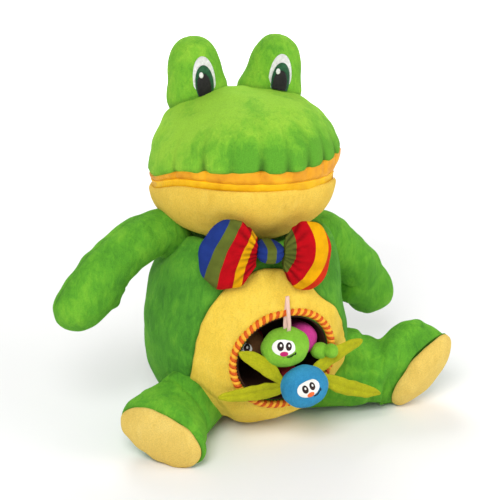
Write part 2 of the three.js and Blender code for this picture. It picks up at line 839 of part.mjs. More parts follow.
// A face patch, turned sideways, raised and rolled from straight forward.
function bugFace({ name, half, at }) {
  const [turn_deg, rise_deg, roll_deg] = bug_look_deg[name];
  const raised = forward.clone().applyAxisAngle(vec(1, 0, 0), -rad(rise_deg));
  const looking = raised.applyAxisAngle(up, rad(turn_deg));
  const beside = vec(1, 0, 0).applyAxisAngle(up, rad(turn_deg));
  const over = looking.clone().cross(beside).applyAxisAngle(looking, rad(roll_deg));
  const edgeAngle = (phi) => rad(oval(phi, bug_face_wide_deg, bug_face_tall_deg));
  return eggPatch(half, at, looking, over, edgeAngle, seam_gap, bug_patch_thickness, small_columns, 2);
}

// A rounded rod from one point to another.
function rod(from, to, radius) {
  return wasm.Manifold.hull([ball(radius, from, small_columns), ball(radius, to, small_columns)]);
}

const inchworm = bug(
  "inchworm",
  inchworm_head_half_width,
  inchworm_head_half_height,
  inchworm_place_share,
);
const dragonfly = bug(
  "dragonfly",
  dragonfly_head_half_width,
  dragonfly_head_half_height,
  dragonfly_place_share,
);
const beetle = bug("beetle", beetle_head_half_width, beetle_head_half_height, beetle_place_share);
const beetle_body = bug(
  "beetle_body",
  beetle_body_half_width,
  beetle_body_half_height,
  beetle_body_place_share,
);

add("inchworm_head", inchworm.made, 0x6fb23a);
add("inchworm_face", bugFace(inchworm), WHITE, 0.8);
let inchworm_room = inchworm.room;

// Balls sewn to the inchworm, each cut where it meets the ones before it.
function addBalls(names, radius, place_shares, color) {
  place_shares.forEach((place_share, i) => {
    const at = placed(place_share);
    add(`${names}_${i + 1}`, ball(radius, at, small_columns).subtract(inchworm_room), color);
    inchworm_room = union([inchworm_room, ball(radius + seam_gap, at, small_columns)]);
  });
}
addBalls("inchworm_segment", inchworm_segment_radius, inchworm_segment_place_shares, 0xa73c8c);
addBalls("inchworm_foot", inchworm_foot_radius, inchworm_foot_place_shares, 0x4c8f2c);

// The hang loop on the inchworm's head: a narrow flat ribbon, folded and sewn in
function hangLoop() {
  const middle_height = inchworm_head_half_height + tag_half_height - tag_sewn_in;
  const middle = inchworm.at.clone().add(vec(0, -3 * tag_half_depth, middle_height));
  const corners = [
    [-1, -1],
    [1, -1],
    [1, 1],
    [-1, 1],
  ];
  const rings = angles(limb_columns).map((a) => {
    const outward = vec(0, cos(a) / tag_half_depth, sin(a) / tag_half_height).normalize();
    const at = middle.clone().add(vec(0, tag_half_depth * cos(a), tag_half_height * sin(a)));
    return corners.map(([x, y]) =>
      at
        .clone()
        .add(vec((x * tag_width) / 2, 0, 0))
        .addScaledVector(outward, (y * tag_thickness) / 2),
    );
  });
  return fromRings(rings, true).subtract(inchworm.room);
}
add("inchworm_hang_loop", hangLoop(), 0xe8c9b4, 0.4);

const tail_reach = vec(-dragonfly_body_radius, dragonfly_body_length, dragonfly_body_radius / 3);
const tail_end = dragonfly.at.clone().add(tail_reach);
const dragonfly_room = union([dragonfly.room, rod(dragonfly.at, tail_end, dragonfly_body_radius + seam_gap)]);
add("dragonfly_head", dragonfly.made, 0x2f89a8);
add("dragonfly_face", bugFace(dragonfly), WHITE, 0.8);
add("dragonfly_body", rod(dragonfly.at, tail_end, dragonfly_body_radius).subtract(dragonfly.room), 0x6e1b22);

// A leaf-shaped wing: flat rings that swell and taper from the body to the tip.
const wing_width_shares = [0.35, 0.75, 1, 0.95, 0.7, 0.3];

function wing(place_shares) {
  const root = dragonfly.at.clone().add(vec(...place_shares.root).multiplyScalar(pocket_half_width));
  const end = dragonfly.at.clone().add(vec(...place_shares.end).multiplyScalar(pocket_half_width));
  const reach = end.clone().sub(root);
  const along = reach.clone().normalize();
  const flat = forward.clone().projectOnPlane(along).normalize();
  const stations = wing_width_shares.map((width_share, j) => ({
    at: root.clone().addScaledVector(reach, j / (wing_width_shares.length - 1)),
    along,
    over_axis: flat,
    beside_axis: along.clone().cross(flat),
    over: wing_half_thickness,
    under: wing_half_thickness,
    beside: wing_half_width * width_share,
    cap: j ? wing_half_thickness : 0,
  }));
  return lofted(stations, cord_columns).subtract(dragonfly_room);
}
wing_place_shares.forEach((shares, i) => add(`dragonfly_wing_${i + 1}`, wing(shares), 0xa9b81e, 0.8));

add("beetle_head", beetle.made, 0x7a4a22);
add("beetle_face", bugFace(beetle), WHITE, 0.8);
add("beetle_body", beetle_body.made.subtract(beetle.room), 0x8d2a2a);

export default frog;
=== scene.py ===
"""A sitting plush frog with a belly pocket full of small plush bugs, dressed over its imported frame."""

import math

import bpy
import numpy as np
from mathutils import Matrix, Vector


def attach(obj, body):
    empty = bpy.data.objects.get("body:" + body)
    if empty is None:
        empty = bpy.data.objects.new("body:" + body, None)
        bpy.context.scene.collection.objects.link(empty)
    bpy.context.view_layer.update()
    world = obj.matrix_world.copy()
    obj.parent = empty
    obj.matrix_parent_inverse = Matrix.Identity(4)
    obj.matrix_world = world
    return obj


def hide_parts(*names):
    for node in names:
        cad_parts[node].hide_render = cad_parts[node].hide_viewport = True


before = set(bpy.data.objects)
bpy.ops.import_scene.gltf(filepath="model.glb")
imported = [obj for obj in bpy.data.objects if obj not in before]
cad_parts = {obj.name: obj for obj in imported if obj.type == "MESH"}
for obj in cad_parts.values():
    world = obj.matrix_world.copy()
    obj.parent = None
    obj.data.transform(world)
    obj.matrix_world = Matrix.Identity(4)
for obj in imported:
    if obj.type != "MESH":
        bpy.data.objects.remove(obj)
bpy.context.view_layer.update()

# Sizes are in millimetres, as in the part, and MM turns them into metres
MM = 0.001
UP = np.array([0.0, 0.0, 1.0])
FORWARD = np.array([0.0, -1.0, 0.0])
BACK = -FORWARD
ORIGIN = np.zeros(3)
ON_FLOOR = np.array([-np.inf, -np.inf, 0])
SEAM_GAP = 0.3
# How near to a seam a skin stays as it is while it is filled
SEAM_HELD = 2.5
SIDES = {"right": -1, "left": 1}

# Camera: the photograph's view
CAMERA_AZIMUTH = -23
CAMERA_ELEVATION = 20
CAMERA_DISTANCE = 1500
CAMERA_TARGET = np.array([0.0, 0.0, 180.0])
TARGET_PIXEL = (247.5, 225)
IMAGE_PIXELS = 500
MM_PER_PIXEL = 0.9
SENSOR_MM = 36


def camera():
    azimuth, elevation = math.radians(CAMERA_AZIMUTH), math.radians(CAMERA_ELEVATION)
    back = Vector((
        math.sin(azimuth) * math.cos(elevation),
        -math.cos(azimuth) * math.cos(elevation),
        math.sin(elevation),
    ))
    data = bpy.data.cameras.new("camera")
    data.sensor_width = SENSOR_MM
    data.lens = SENSOR_MM * CAMERA_DISTANCE / (MM_PER_PIXEL * IMAGE_PIXELS)
    data.shift_x = 0.5 - TARGET_PIXEL[0] / IMAGE_PIXELS
    data.shift_y = TARGET_PIXEL[1] / IMAGE_PIXELS - 0.5
    data.clip_start, data.clip_end = 0.05, 20
    seen_from = bpy.data.objects.new("camera", data)
    bpy.context.scene.collection.objects.link(seen_from)
    seen_from.location = Vector(CAMERA_TARGET * MM) + back * CAMERA_DISTANCE * MM
    seen_from.rotation_mode = "QUATERNION"
    seen_from.rotation_quaternion = (-back).to_track_quat("-Z", "Y")
    bpy.context.scene.camera = seen_from


camera()


# Vectors and smooth functions, on arrays of points in millimetres

def unit(v):
    v = np.asarray(v, float)
    return v / np.linalg.norm(v, axis=-1, keepdims=True)


def smooth(low, high, value):
    t = np.clip((value - low) / (high - low), 0, 1)
    return t * t * (3 - 2 * t)


def bump(distance, width):
    return np.exp(-((distance / width) ** 2))


def lumps(points, size, seed, waves=14):
    """Smooth noise from -1 to 1, with lumps of about that size."""
    random = np.random.default_rng(seed)
    heading = unit(random.normal(size=(waves, 3)))
    pitch = 2 * math.pi / size * random.uniform(0.7, 1.4, size=(waves, 1))
    phase = random.uniform(0, 2 * math.pi, waves)
    return np.sin(points @ (heading * pitch).T + phase).sum(-1) / math.sqrt(waves)


def rotation(axis, degrees):
    return np.array(Matrix.Rotation(math.radians(degrees), 4, Vector(axis)))


def translation(at):
    return np.array(Matrix.Translation(Vector(at)))


def moved(points, matrix):
    return points @ matrix[:3, :3].T + matrix[:3, 3]


def turned(vector, matrix):
    return np.asarray(vector, float) @ matrix[:3, :3].T


def near(points, path, closed=False):
    """Each point's distance to a path, and how far along the path that is, in millimetres."""
    path = np.asarray(path, float)
    ends = np.roll(path, -1, axis=0) if closed else path[1:]
    starts = path if closed else path[:-1]
    lengths = np.linalg.norm(ends - starts, axis=1)
    run = np.concatenate([[0], np.cumsum(lengths)])[:-1]
    best, along = np.full(len(points), 1e9), np.zeros(len(points))
    for start, end, length, so_far in zip(starts, ends, lengths, run):
        if length < 1e-9:
            continue
        share = np.clip((points - start) @ (end - start) / length**2, 0, 1)
        distance = np.linalg.norm(points - start - share[:, None] * (end - start), axis=1)
        closer = distance < best
        best[closer] = distance[closer]
        along[closer] = (so_far + share * length)[closer]
    return best, along


# Meshes

def rows_mesh(rows, wrap=False, first=None, last=None):
    """Points and faces of a surface from rows of points, each row a ring; first and last are poles."""
    rows = np.asarray(rows, float)
    n, m = rows.shape[:2]
    points = rows.reshape(-1, 3)
    index = np.arange(n * m).reshape(n, m)
    low = index if wrap else index[:-1]
    high = np.roll(index, -1, axis=0) if wrap else index[1:]
    quads = np.stack([low, np.roll(low, -1, axis=1), np.roll(high, -1, axis=1), high], -1).reshape(-1, 4)
    faces = quads.tolist()
    for pole, ring in ((first, index[0]), (last, index[-1])):
        if pole is None:
            continue
        points = np.vstack([points, pole])
        tip = len(points) - 1
        following = np.roll(ring, -1)
        triangles = np.stack([ring, following, np.full(m, tip)], -1)
        faces += (triangles[:, ::-1] if pole is first else triangles).tolist()
    return points, faces


def make(name, form, material):
    """A smooth closed mesh object from points and faces, with its faces pointing out."""
    points, faces = form
    mesh = bpy.data.meshes.new(name)
    mesh.from_pydata((np.asarray(points) * MM).tolist(), [], faces)
    mesh.update()
    if signed_volume(mesh) < 0:
        mesh.flip_normals()
    mesh.shade_smooth()
    made = bpy.data.objects.new(name, mesh)
    bpy.context.scene.collection.objects.link(made)
    mesh.materials.append(material)
    return made


def signed_volume(mesh):
    mesh.calc_loop_triangles()
    corners = np.zeros(len(mesh.loop_triangles) * 3, np.int32)
    mesh.loop_triangles.foreach_get("vertices", corners)
    a, b, c = points_of(mesh)[corners.reshape(-1, 3)].transpose(1, 0, 2)
    return np.einsum("ij,ij->i", a, np.cross(b, c)).sum()


def points_of(mesh):
    flat = np.zeros(len(mesh.vertices) * 3, np.float32)
    mesh.vertices.foreach_get("co", flat)
    return flat.reshape(-1, 3).astype(float) / MM


def sculpt(piece, change):
    """Moves a mesh's points to change(points, normals), all in millimetres."""
    mesh = piece.data
    normals = np.zeros(len(mesh.vertices) * 3, np.float32)
    mesh.vertices.foreach_get("normal", normals)
    points = change(points_of(mesh), normals.reshape(-1, 3).astype(float))
    mesh.vertices.foreach_set("co", (points * MM).astype(np.float32).ravel())
    mesh.update()
    return piece


def relief(piece, depth):
    """Raises a mesh's points along their normals by depth(points)."""
    sculpt(piece, lambda p, n: p + n * np.asarray(depth(p))[:, None])


def paint(piece, name, value):
    """Keeps value(points) on the mesh, for its material to read."""
    layer = piece.data.attributes.new(name, "FLOAT", "POINT")
    values = np.broadcast_to(value(points_of(piece.data)), len(piece.data.vertices))
    layer.data.foreach_set("value", values.astype(np.float32))


# The cloth simulation's settings, in Blender's own units
CLOTH = dict(
    quality=5, mass=0.3, tension_stiffness=15, compression_stiffness=15, shear_stiffness=7.5,
    bending_stiffness=0.5, use_pressure=True, uniform_pressure_force=1.5, vertex_group_mass="held",
)


def puffed(piece, cap, held, frames=14):
    """Fills a piece with a cloth simulation; no point moves more than cap, and held(points) stay."""
    before = points_of(piece.data)
    group = piece.vertex_groups.new(name="held")
    group.add(np.flatnonzero(held(before)).tolist(), 1.0, "REPLACE")
    cloth = piece.modifiers.new("cloth", "CLOTH")
    for name, value in CLOTH.items():
        setattr(cloth.settings, name, value)
    cloth.settings.effector_weights.gravity = 0
    cloth.collision_settings.use_collision = False
    cloth.point_cache.frame_start, cloth.point_cache.frame_end = 1, frames
    for number in range(1, frames + 1):
        bpy.context.scene.frame_set(number)
    graph = bpy.context.evaluated_depsgraph_get()
    step = points_of(piece.evaluated_get(graph).data) - before
    piece.modifiers.clear()
    piece.vertex_groups.clear()
    bpy.context.scene.frame_set(1)
    length = np.linalg.norm(step, axis=1, keepdims=True)
    step *= np.minimum(1, cap / np.maximum(length, 1e-9))
    sculpt(piece, lambda p, n: before + step)


def dress(piece, body, slot, *nodes, fill=None):
    """Puts a finished piece on its body, in place of the CAD nodes that it stands for."""
    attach(piece, body)
    if nodes:
        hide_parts(*nodes)


# Seams

def sewn(distance, run, groove, pucker, pitch, swing=1.0, off=0.0):
    """The relief of a seam: a groove, and puckers beside it; both are given as depth and width."""
    puckers = pucker[0] * bump(distance - off, pucker[1]) * (1 + swing * np.sin(run / pitch))
    return -groove[0] * bump(distance, groove[1]) - puckers


def paint_seam_shade(piece, *seams):
    """Paints shade along a piece's seams, where their grooves lie in shadow: each one's line, darkness, width
    and whether it closes.
    """
    paint(piece, "seam", lambda p: np.max(
        [dark * bump(near(p, line, closed)[0], width) for line, dark, width, closed in seams], axis=0
    ))


# Eggs and patches, by the part's own formulas

def egg(side, front, back, rise, drop, square_up, square_down):
    return dict(side=side, front=front, back=back, rise=rise, drop=drop, up=square_up, down=square_down)


def inset(half, by):
    return {k: v - by if k not in ("up", "down") else v for k, v in half.items()}


def egg_radius(d, half):
    squareness = np.where(d[..., 2] > 0, half["up"], half["down"])
    depth = np.where(d[..., 1] < 0, half["front"], half["back"])
    height = np.where(d[..., 2] > 0, half["rise"], half["drop"])
    across = np.hypot(d[..., 0] / half["side"], d[..., 1] / depth)
    upright = np.abs(d[..., 2]) / height
    return (across**squareness + upright**squareness) ** (-1 / squareness)


def egg_points(half, center, d):
    return center + d * egg_radius(d, half)[..., None]


def egg_clearance(points, half, center):
    """About how far outside an egg each point lies."""
    away = points - center
    distance = np.linalg.norm(away, axis=-1) + 1e-9
    return distance - egg_radius(away / distance[..., None], half)


def around(forward, over, polar, phi):
    """Directions at a polar angle from forward, turned by phi from its side towards over."""
    beside = np.cross(forward, over)
    polar, phi = np.broadcast_arrays(polar, phi)
    return (
        forward * np.cos(polar)[..., None]
        + beside * (np.sin(polar) * np.cos(phi))[..., None]
        + over * (np.sin(polar) * np.sin(phi))[..., None]
    )


def oval(phi, wide, tall, squareness=2):
    across, upright = np.abs(np.cos(phi) / wide), np.abs(np.sin(phi) / tall)
    return (across**squareness + upright**squareness) ** (-1 / squareness)


def turns(columns):
    return np.arange(columns) * 2 * math.pi / columns


def ball(radius):
    return egg(*[radius] * 5, 2, 2)


def egg_form(half, center, columns, rows):
    polar = (np.arange(1, rows) / rows * math.pi)[:, None]
    ring = egg_points(half, center, around(UP, BACK, polar, turns(columns)[None]))
    top, bottom = egg_points(half, center, UP), egg_points(half, center, -UP)
    return rows_mesh(ring, first=top, last=bottom)


def patch_form(half, center, forward, over, edge, lift, thickness, columns=72, rows=12):
    """A patch with a rounded edge that lies on an egg, out to an oval round one direction of it."""
    phi = turns(columns)
    outwards = np.linspace(0, 1, rows + 1)[1:]
    shares = [*outwards, 1.0, *outwards[:0:-1]]
    heights = [*(lift + thickness * np.sqrt(1 - outwards**4)), lift, *np.full(rows, lift - thickness)]
    rings = []
    for share, height in zip(shares, heights):
        d = around(forward, over, share * edge(phi), phi)
        rings.append(egg_points(inset(half, -height), center, d))
    top = egg_points(inset(half, -lift - thickness), center, forward)
    bottom = egg_points(inset(half, -lift + thickness), center, forward)
    return rows_mesh(rings, first=top, last=bottom)


# Colours and node materials

def srgb(red, green, blue):
    channels = (red / 255, green / 255, blue / 255)
    return (*(c / 12.92 if c <= 0.04045 else ((c + 0.055) / 1.055) ** 2.4 for c in channels), 1.0)


WAVES_PER_UNIT = 3.14
CLOTH_SHINE = {"Specular IOR Level": 0.25, "Sheen Roughness": 0.45}


class Nodes:
    """A material's nodes, added one by one."""

    def __init__(self, name):
        self.material = bpy.data.materials.new(name)
        self.material.use_nodes = True
        self.tree = self.material.node_tree
        self.shader = self.tree.nodes["Principled BSDF"]
        self.place = self.add("ShaderNodeTexCoord").outputs["Object"]

    def add(self, kind, inputs=(), **settings):
        node = self.tree.nodes.new(kind)
        for name, value in settings.items():
            setattr(node, name, value)
        for name, value in dict(inputs).items():
            self.set(node.inputs[name], value)
        return node

    def set(self, socket, value):
        if isinstance(value, bpy.types.NodeSocket):
            self.tree.links.new(value, socket)
        else:
            socket.default_value = value

    def noise(self, size_mm, detail=3.0, rough=0.55, stretch=(1, 1, 1), distortion=0.0):
        scaled = self.add("ShaderNodeMapping", {"Vector": self.place, "Scale": stretch})
        inputs = {
            "Vector": scaled.outputs[0], "Scale": 1 / (size_mm * MM), "Detail": detail, "Roughness": rough,
            "Distortion": distortion,
        }
        return self.add("ShaderNodeTexNoise", inputs).outputs["Fac"]

    def threads(self, pitch_mm, direction, inputs):
        """Straight threads side by side."""
        scale = 1 / (pitch_mm * MM) / WAVES_PER_UNIT
        return self.add(
            "ShaderNodeTexWave", {"Vector": self.place, "Scale": scale, **inputs},
            wave_type="BANDS", bands_direction=direction,
        ).outputs["Fac"]

    def ramp(self, fac, stops, interpolation="LINEAR"):
        node = self.add("ShaderNodeValToRGB", {"Fac": fac})
        ramp = node.color_ramp
        ramp.interpolation = interpolation
        while len(ramp.elements) < len(stops):
            ramp.elements.new(0.5)
        for element, (position, color) in zip(ramp.elements, stops):
            element.position = position
            element.color = color
        return node.outputs["Color"]

    def grey(self, fac, low, high, at=(0.0, 1.0)):
        return self.add(
            "ShaderNodeMapRange",
            {"Value": fac, "From Min": at[0], "From Max": at[1], "To Min": low, "To Max": high},
        ).outputs["Result"]

    def mix(self, fac, a, b, mode="MIX"):
        node = self.add("ShaderNodeMix", data_type="RGBA", blend_type=mode)
        self.set(node.inputs["Factor"], fac)
        self.set(node.inputs["A"], a)
        self.set(node.inputs["B"], b)
        return node.outputs["Result"]

    def shaded(self, share, color, fac, low, high):
        """Multiplies a colour by a grey that goes from low to high, each given as place and grey."""
        greys = self.ramp(fac, [(at, (grey, grey, grey, 1)) for at, grey in (low, high)])
        return self.mix(share, color, greys, "MULTIPLY")

    def darkened(self, color, name, least):
        """Multiplies a colour by a grey that falls to least where the piece is painted."""
        grey = self.grey(self.painted(name), 1.0, least)
        greys = self.add("ShaderNodeCombineColor", dict.fromkeys(("Red", "Green", "Blue"), grey))
        return self.mix(1.0, color, greys.outputs[0], "MULTIPLY")

    def math(self, operation, a, b):
        node = self.add("ShaderNodeMath", operation=operation)
        self.set(node.inputs[0], a)
        self.set(node.inputs[1], b)
        return node.outputs[0]

    def painted(self, name):
        return self.add("ShaderNodeAttribute", attribute_name=name).outputs["Fac"]

    def relief(self, height, depth_mm, under=None):
        inputs = {"Height": height, "Distance": depth_mm * MM, "Strength": 1.0}
        if under is not None:
            inputs["Normal"] = under
        return self.add("ShaderNodeBump", inputs).outputs["Normal"]

    def finish(self, color, roughness, more=()):
        """Sets the shader's inputs: its colour, its roughness and any others."""
        inputs = {"Base Color": color, "Roughness": roughness, **CLOTH_SHINE, **dict(more)}
        for name, value in inputs.items():
            self.set(self.shader.inputs[name], value)
        return self.material


def plush(name, pile, mottle, shade, middle, lit, sheen=0.35):
    """Short-pile plush: a nap that lies in soft patches, painted light and shade where a piece carries them,
    and the fine relief of the pile.
    """
    nodes = Nodes(name)
    patches = nodes.noise(26, detail=2, rough=0.5, distortion=0.6)
    streaks = nodes.noise(5, detail=4, rough=0.65, stretch=(1, 1, 0.35), distortion=0.8)
    fibres = nodes.noise(1.1, rough=0.7)
    nap = nodes.math("ADD", nodes.math("MULTIPLY", patches, 0.5), nodes.math("MULTIPLY", streaks, 0.5))
    # Painted light and shade, where a piece carries them, are added to the nap
    nap = nodes.math("ADD", nap, nodes.painted("painted_light"))
    half = 0.18 / mottle
    color = nodes.ramp(nap, [(0.5 - half, shade), (0.5, middle), (0.5 + half, lit)])
    color = nodes.shaded(0.45, color, fibres, (0.3, 0.62), (0.62, 1.12))
    # Painted shade, darker where a piece is painted along its seams and in its creases
    color = nodes.darkened(color, "seam", 0.45)
    normal = nodes.relief(streaks, 0.9, under=nodes.relief(fibres, pile))
    return nodes.finish(color, 0.95, {"Normal": normal, "Sheen Weight": sheen, "Sheen Tint": lit})


def woven(name, shade, lit, weave_mm=0.7, relief_mm=0.12, roughness=0.8):
    """Plain woven cloth: crossing threads and a slight unevenness of colour."""
    nodes = Nodes(name)
    soft = {"Distortion": 0.6, "Detail": 1.0}
    weave = nodes.math("MULTIPLY", *(nodes.threads(weave_mm, direction, soft) for direction in "XZ"))
    color = nodes.ramp(nodes.noise(14), [(0.3, shade), (0.7, lit)])
    color = nodes.shaded(0.6, color, weave, (0.0, 0.8), (0.6, 1.05))
    normal = nodes.relief(weave, relief_mm)
    return nodes.finish(color, roughness, {"Normal": normal, "Sheen Weight": 0.15, "Sheen Tint": lit})


def thread(name, shade, lit):
    """Satin stitch: close glossy threads side by side."""
    nodes = Nodes(name)
    threads = nodes.threads(0.55, "X", {"Distortion": 1.5, "Detail": 2.0, "Detail Scale": 2.0})
    color = nodes.ramp(nodes.noise(3), [(0.3, shade), (0.7, lit)])
    color = nodes.shaded(0.35, color, threads, (0.0, 0.6), (0.5, 1))
    return nodes.finish(color, 0.4, {"Normal": nodes.relief(threads, 0.25)})


# Each plush: the relief of its pile, how patchy it is, and its colours from shade to light
# The bright and deep greens are lighter and darker copies of the one green plush: painted light on the snout
# and eye bumps, which face the lights from above, and painted shade on the torso and neck, which lie under the
# head
GREEN_PLUSH, BRIGHT_PLUSH, DEEP_PLUSH, YELLOW_PLUSH, BUFF_PLUSH, SOLE_PLUSH = (
    plush(*looks, *(srgb(*color) for color in colors)) for *looks, colors in (
        ("green_plush", 0.55, 1.0, ((66, 132, 34), (88, 158, 38), (116, 180, 46))),
        ("bright_green_plush", 0.55, 1.0, ((86, 152, 38), (112, 174, 44), (142, 192, 54))),
        ("deep_green_plush", 0.55, 1.0, ((54, 116, 32), (74, 142, 38), (98, 162, 44))),
        ("yellow_plush", 0.4, 0.5, ((210, 170, 50), (226, 192, 68), (238, 208, 92))),
        ("buff_plush", 0.45, 0.5, ((206, 164, 54), (222, 184, 70), (234, 202, 92))),
        ("sole_plush", 0.4, 0.5, ((206, 170, 76), (222, 190, 96), (232, 206, 118))),
    )
)
GOLD_LINING = woven("gold_lining", srgb(208, 132, 10), srgb(240, 172, 22), roughness=0.55)
# A brighter, yellower copy of the gold lining for the mouth's floor: partly the floor's own yellower colour,
# partly painted light for its rim, which rolls out over the jaw into the light
BRIGHT_LINING = woven("bright_lining", srgb(238, 172, 6), srgb(255, 204, 20), roughness=0.55)
# The lining's dark brown is taken from the pocket's shaded inside: partly the cloth's own colour, partly
# painted shade
DARK_LINING = woven("dark_lining", srgb(44, 24, 16), srgb(74, 44, 26), weave_mm=1.0)
SATIN_WHITE = thread("satin_white", srgb(214, 214, 206), srgb(248, 248, 244))
SATIN_GREEN = thread("satin_green", srgb(14, 66, 36), srgb(36, 100, 58))
SATIN_BLACK = thread("satin_black", srgb(8, 8, 7), srgb(30, 28, 24))


# Lights, floor and backdrop

# Each light: its place, its width and its power
LIGHTS = {
    "key_light": ((-900, -1300, 1500), 1100, 30),
    "fill_light": ((1300, -1000, 700), 1200, 12),
    "back_light": ((300, 1300, 1300), 1000, 14),
}
LIT_POINT = (0, 0, 150)
AMBIENT, BACKDROP = 0.42, 1.0


def area_light(name, at, size, energy):
    data = bpy.data.lights.new(name, "AREA")
    data.shape = "DISK"
    data.size = size * MM
    data.energy = energy
    light = bpy.data.objects.new(name, data)
    bpy.context.scene.collection.objects.link(light)
    light.location = Vector(at) * MM
    light.rotation_mode = "QUATERNION"
    light.rotation_quaternion = (Vector(LIT_POINT) - Vector(at)).to_track_quat("-Z", "Y")


def studio():
    """Three lights, and a white backdrop that lights the toy less than it shows."""
    for name, light in LIGHTS.items():
        area_light(name, *light)
    world = bpy.data.worlds.new("studio")
    bpy.context.scene.world = world
    world.use_nodes = True
    tree = world.node_tree
    background = tree.nodes["Background"]
    rays = tree.nodes.new("ShaderNodeLightPath")

    def larger(a, b):
        node = tree.nodes.new("ShaderNodeMath")
        node.operation = "MAXIMUM"
        tree.links.new(a, node.inputs[0])
        tree.links.new(b, node.inputs[1])
        return node.outputs[0]

    mirrored = larger(rays.outputs["Is Glossy Ray"], rays.outputs["Is Transmission Ray"])
    strength = tree.nodes.new("ShaderNodeMapRange")
    strength.inputs["To Min"].default_value = AMBIENT
    strength.inputs["To Max"].default_value = BACKDROP
    tree.links.new(larger(rays.outputs["Is Camera Ray"], mirrored), strength.inputs["Value"])
    tree.links.new(strength.outputs["Result"], background.inputs["Strength"])
    background.inputs["Color"].default_value = (1, 1, 1, 1)
    bpy.context.scene.view_settings.view_transform = "Standard"


FLOOR_RADIUS, FLOOR_LEVEL = 3000, -0.4
FLOOR_FADE = (0.45, 1.6)


def floor():
    """A pale round floor that fades into the white backdrop where nothing shades it."""
    phi = turns(64)
    ring = FLOOR_RADIUS * np.stack([np.cos(phi), np.sin(phi), 0 * phi], -1) + (0, 0, FLOOR_LEVEL)
    nodes = Nodes("pale_floor")
    pale = nodes.ramp(nodes.noise(300), [(0.0, (0.86, 0.86, 0.86, 1)), (1.0, (0.9, 0.9, 0.9, 1))])
    away = nodes.add("ShaderNodeVectorMath", {0: nodes.place}, operation="LENGTH").outputs["Value"]
    glow = nodes.grey(away, 0.0, 0.8, at=FLOOR_FADE)
    material = nodes.finish(pale, 0.9, {"Emission Strength": glow, "Emission Color": (1, 1, 1, 1)})
    ground = make("floor", (ring, [list(range(len(phi)))]), material)


studio()
floor()


# Torso and belly panel
TORSO = egg(96, 91, 86, 113, 83, 2.35, 2.3)
TORSO_CENTER = np.array([0.0, 0.0, 82.5])
TORSO_COLUMNS = 168
POCKET_DEG = (31, 28)
PANEL_WIDE_DEG, PANEL_BOTTOM_DEG, PANEL_SQUARENESS, PANEL_ROLL_DEG = 53, 84, 2.6, 14
PANEL_CUT_DEG = dict(depth=12.5, at=50, width=35)
PANEL_THICKNESS = 2.5
NECK_PIVOT = np.array([0.0, 8.0, 182.0])
NECK_RADIUS = 30

# Head
HEAD_FRAME = (
    translation((0, 10, 222)) @ rotation((0, 0, 1), -4) @ rotation((1, 0, 0), -6) @ rotation((0, 1, 0), 3)
)
HEAD_INVERSE = np.linalg.inv(HEAD_FRAME)
SNOUT = egg(86, 94, 70, 56, 25, 2.25, 7)
SNOUT_CENTER = np.array([0.0, 0.0, 25.3])
PALATE = dict(SNOUT, drop=26.5, down=13)
JAW = egg(84, 90, 68, 7, 46, 5, 2)
JAW_CENTER = np.array([0.0, 0.0, -7.3])
LIP_FRONT, LIP_LEFT, LIP_RIGHT, LIP_BEHIND = 12.3, 6, -7.5, 3.3
FLOOR_SEAM, FLOOR_ROLL = -4.8, 4.6
PALATE_TUCK, JAW_TUCK = 0.1, 0.06
BUMP = egg(25, 23, 23, 40, 40, 2.4, 2.4)
BUMP_SPACING = {"right": 39, "left": 34}
BUMP_FLARE = {"right": 2, "left": 6}
BUMP_BACK, BUMP_HEIGHT, BUMP_SPLAY = 20, 86, 7


def pocket_angle(phi):
    return np.radians(oval(phi, *POCKET_DEG))


def panel_angle(phi):
    """Round above, cut in towards the frog's left shoulder, and long below."""
    low = oval(phi + math.radians(PANEL_ROLL_DEG), PANEL_WIDE_DEG, PANEL_BOTTOM_DEG, PANEL_SQUARENESS)
    above = smooth(-0.3, 0.3, np.sin(phi))
    cut = PANEL_CUT_DEG["depth"] * bump(np.degrees(phi) - PANEL_CUT_DEG["at"], PANEL_CUT_DEG["width"])
    return np.radians(PANEL_WIDE_DEG * above + low * (1 - above) - cut)


def torso_direction(alpha, phi):
    alpha, phi = np.broadcast_arrays(alpha, phi)
    return np.stack([np.sin(alpha) * np.cos(phi), -np.cos(alpha), np.sin(alpha) * np.sin(phi)], -1)


def torso_points(alpha, phi, by=0.0):
    return egg_points(inset(TORSO, by), TORSO_CENTER, torso_direction(alpha, phi))


# The nods and turns, in degrees, that the torso makes way for; the furthest nod back counts only behind
NOD_BACK = -8
CHIN_POSES = ((0, 0), (1, -6), (1, 8), (-3, 0), (NOD_BACK, 0))


def head_clearance(points):
    """How far points are from the chin, at rest and where it nods and turns."""
    nod_axis = turned((1, 0, 0), HEAD_FRAME)
    clearances = []
    for nod, turn in CHIN_POSES:
        turning = rotation((0, 0, 1), turn) @ rotation(nod_axis, nod)
        pose = translation(NECK_PIVOT) @ turning @ translation(-NECK_PIVOT)
        local = moved(points, np.linalg.inv(pose @ HEAD_FRAME))
        in_front = smooth(15, -15, points[..., 1]) if nod == NOD_BACK else 0
        clearances.append(egg_clearance(local, JAW, JAW_CENTER) + 30 * in_front)
    return np.min(clearances, axis=0)


# Limbs: their spines and half sizes, with finer forms than the part's
ARM_POINTS = {
    "right": (
        (-62, 16, 164), (-76, 12, 180), (-94, 9, 179), (-114, 7, 170), (-131, 5, 156), (-146, 4, 139),
        (-178, 3, 109),
    ),
    "left": ((62, 16, 152), (80, 21, 156), (107, 33, 132), (131, 43, 106), (147, 51, 81.5), (173.1, 56, 56.9)),
}
ARM_SWEEP = {"right": -5, "left": 26}
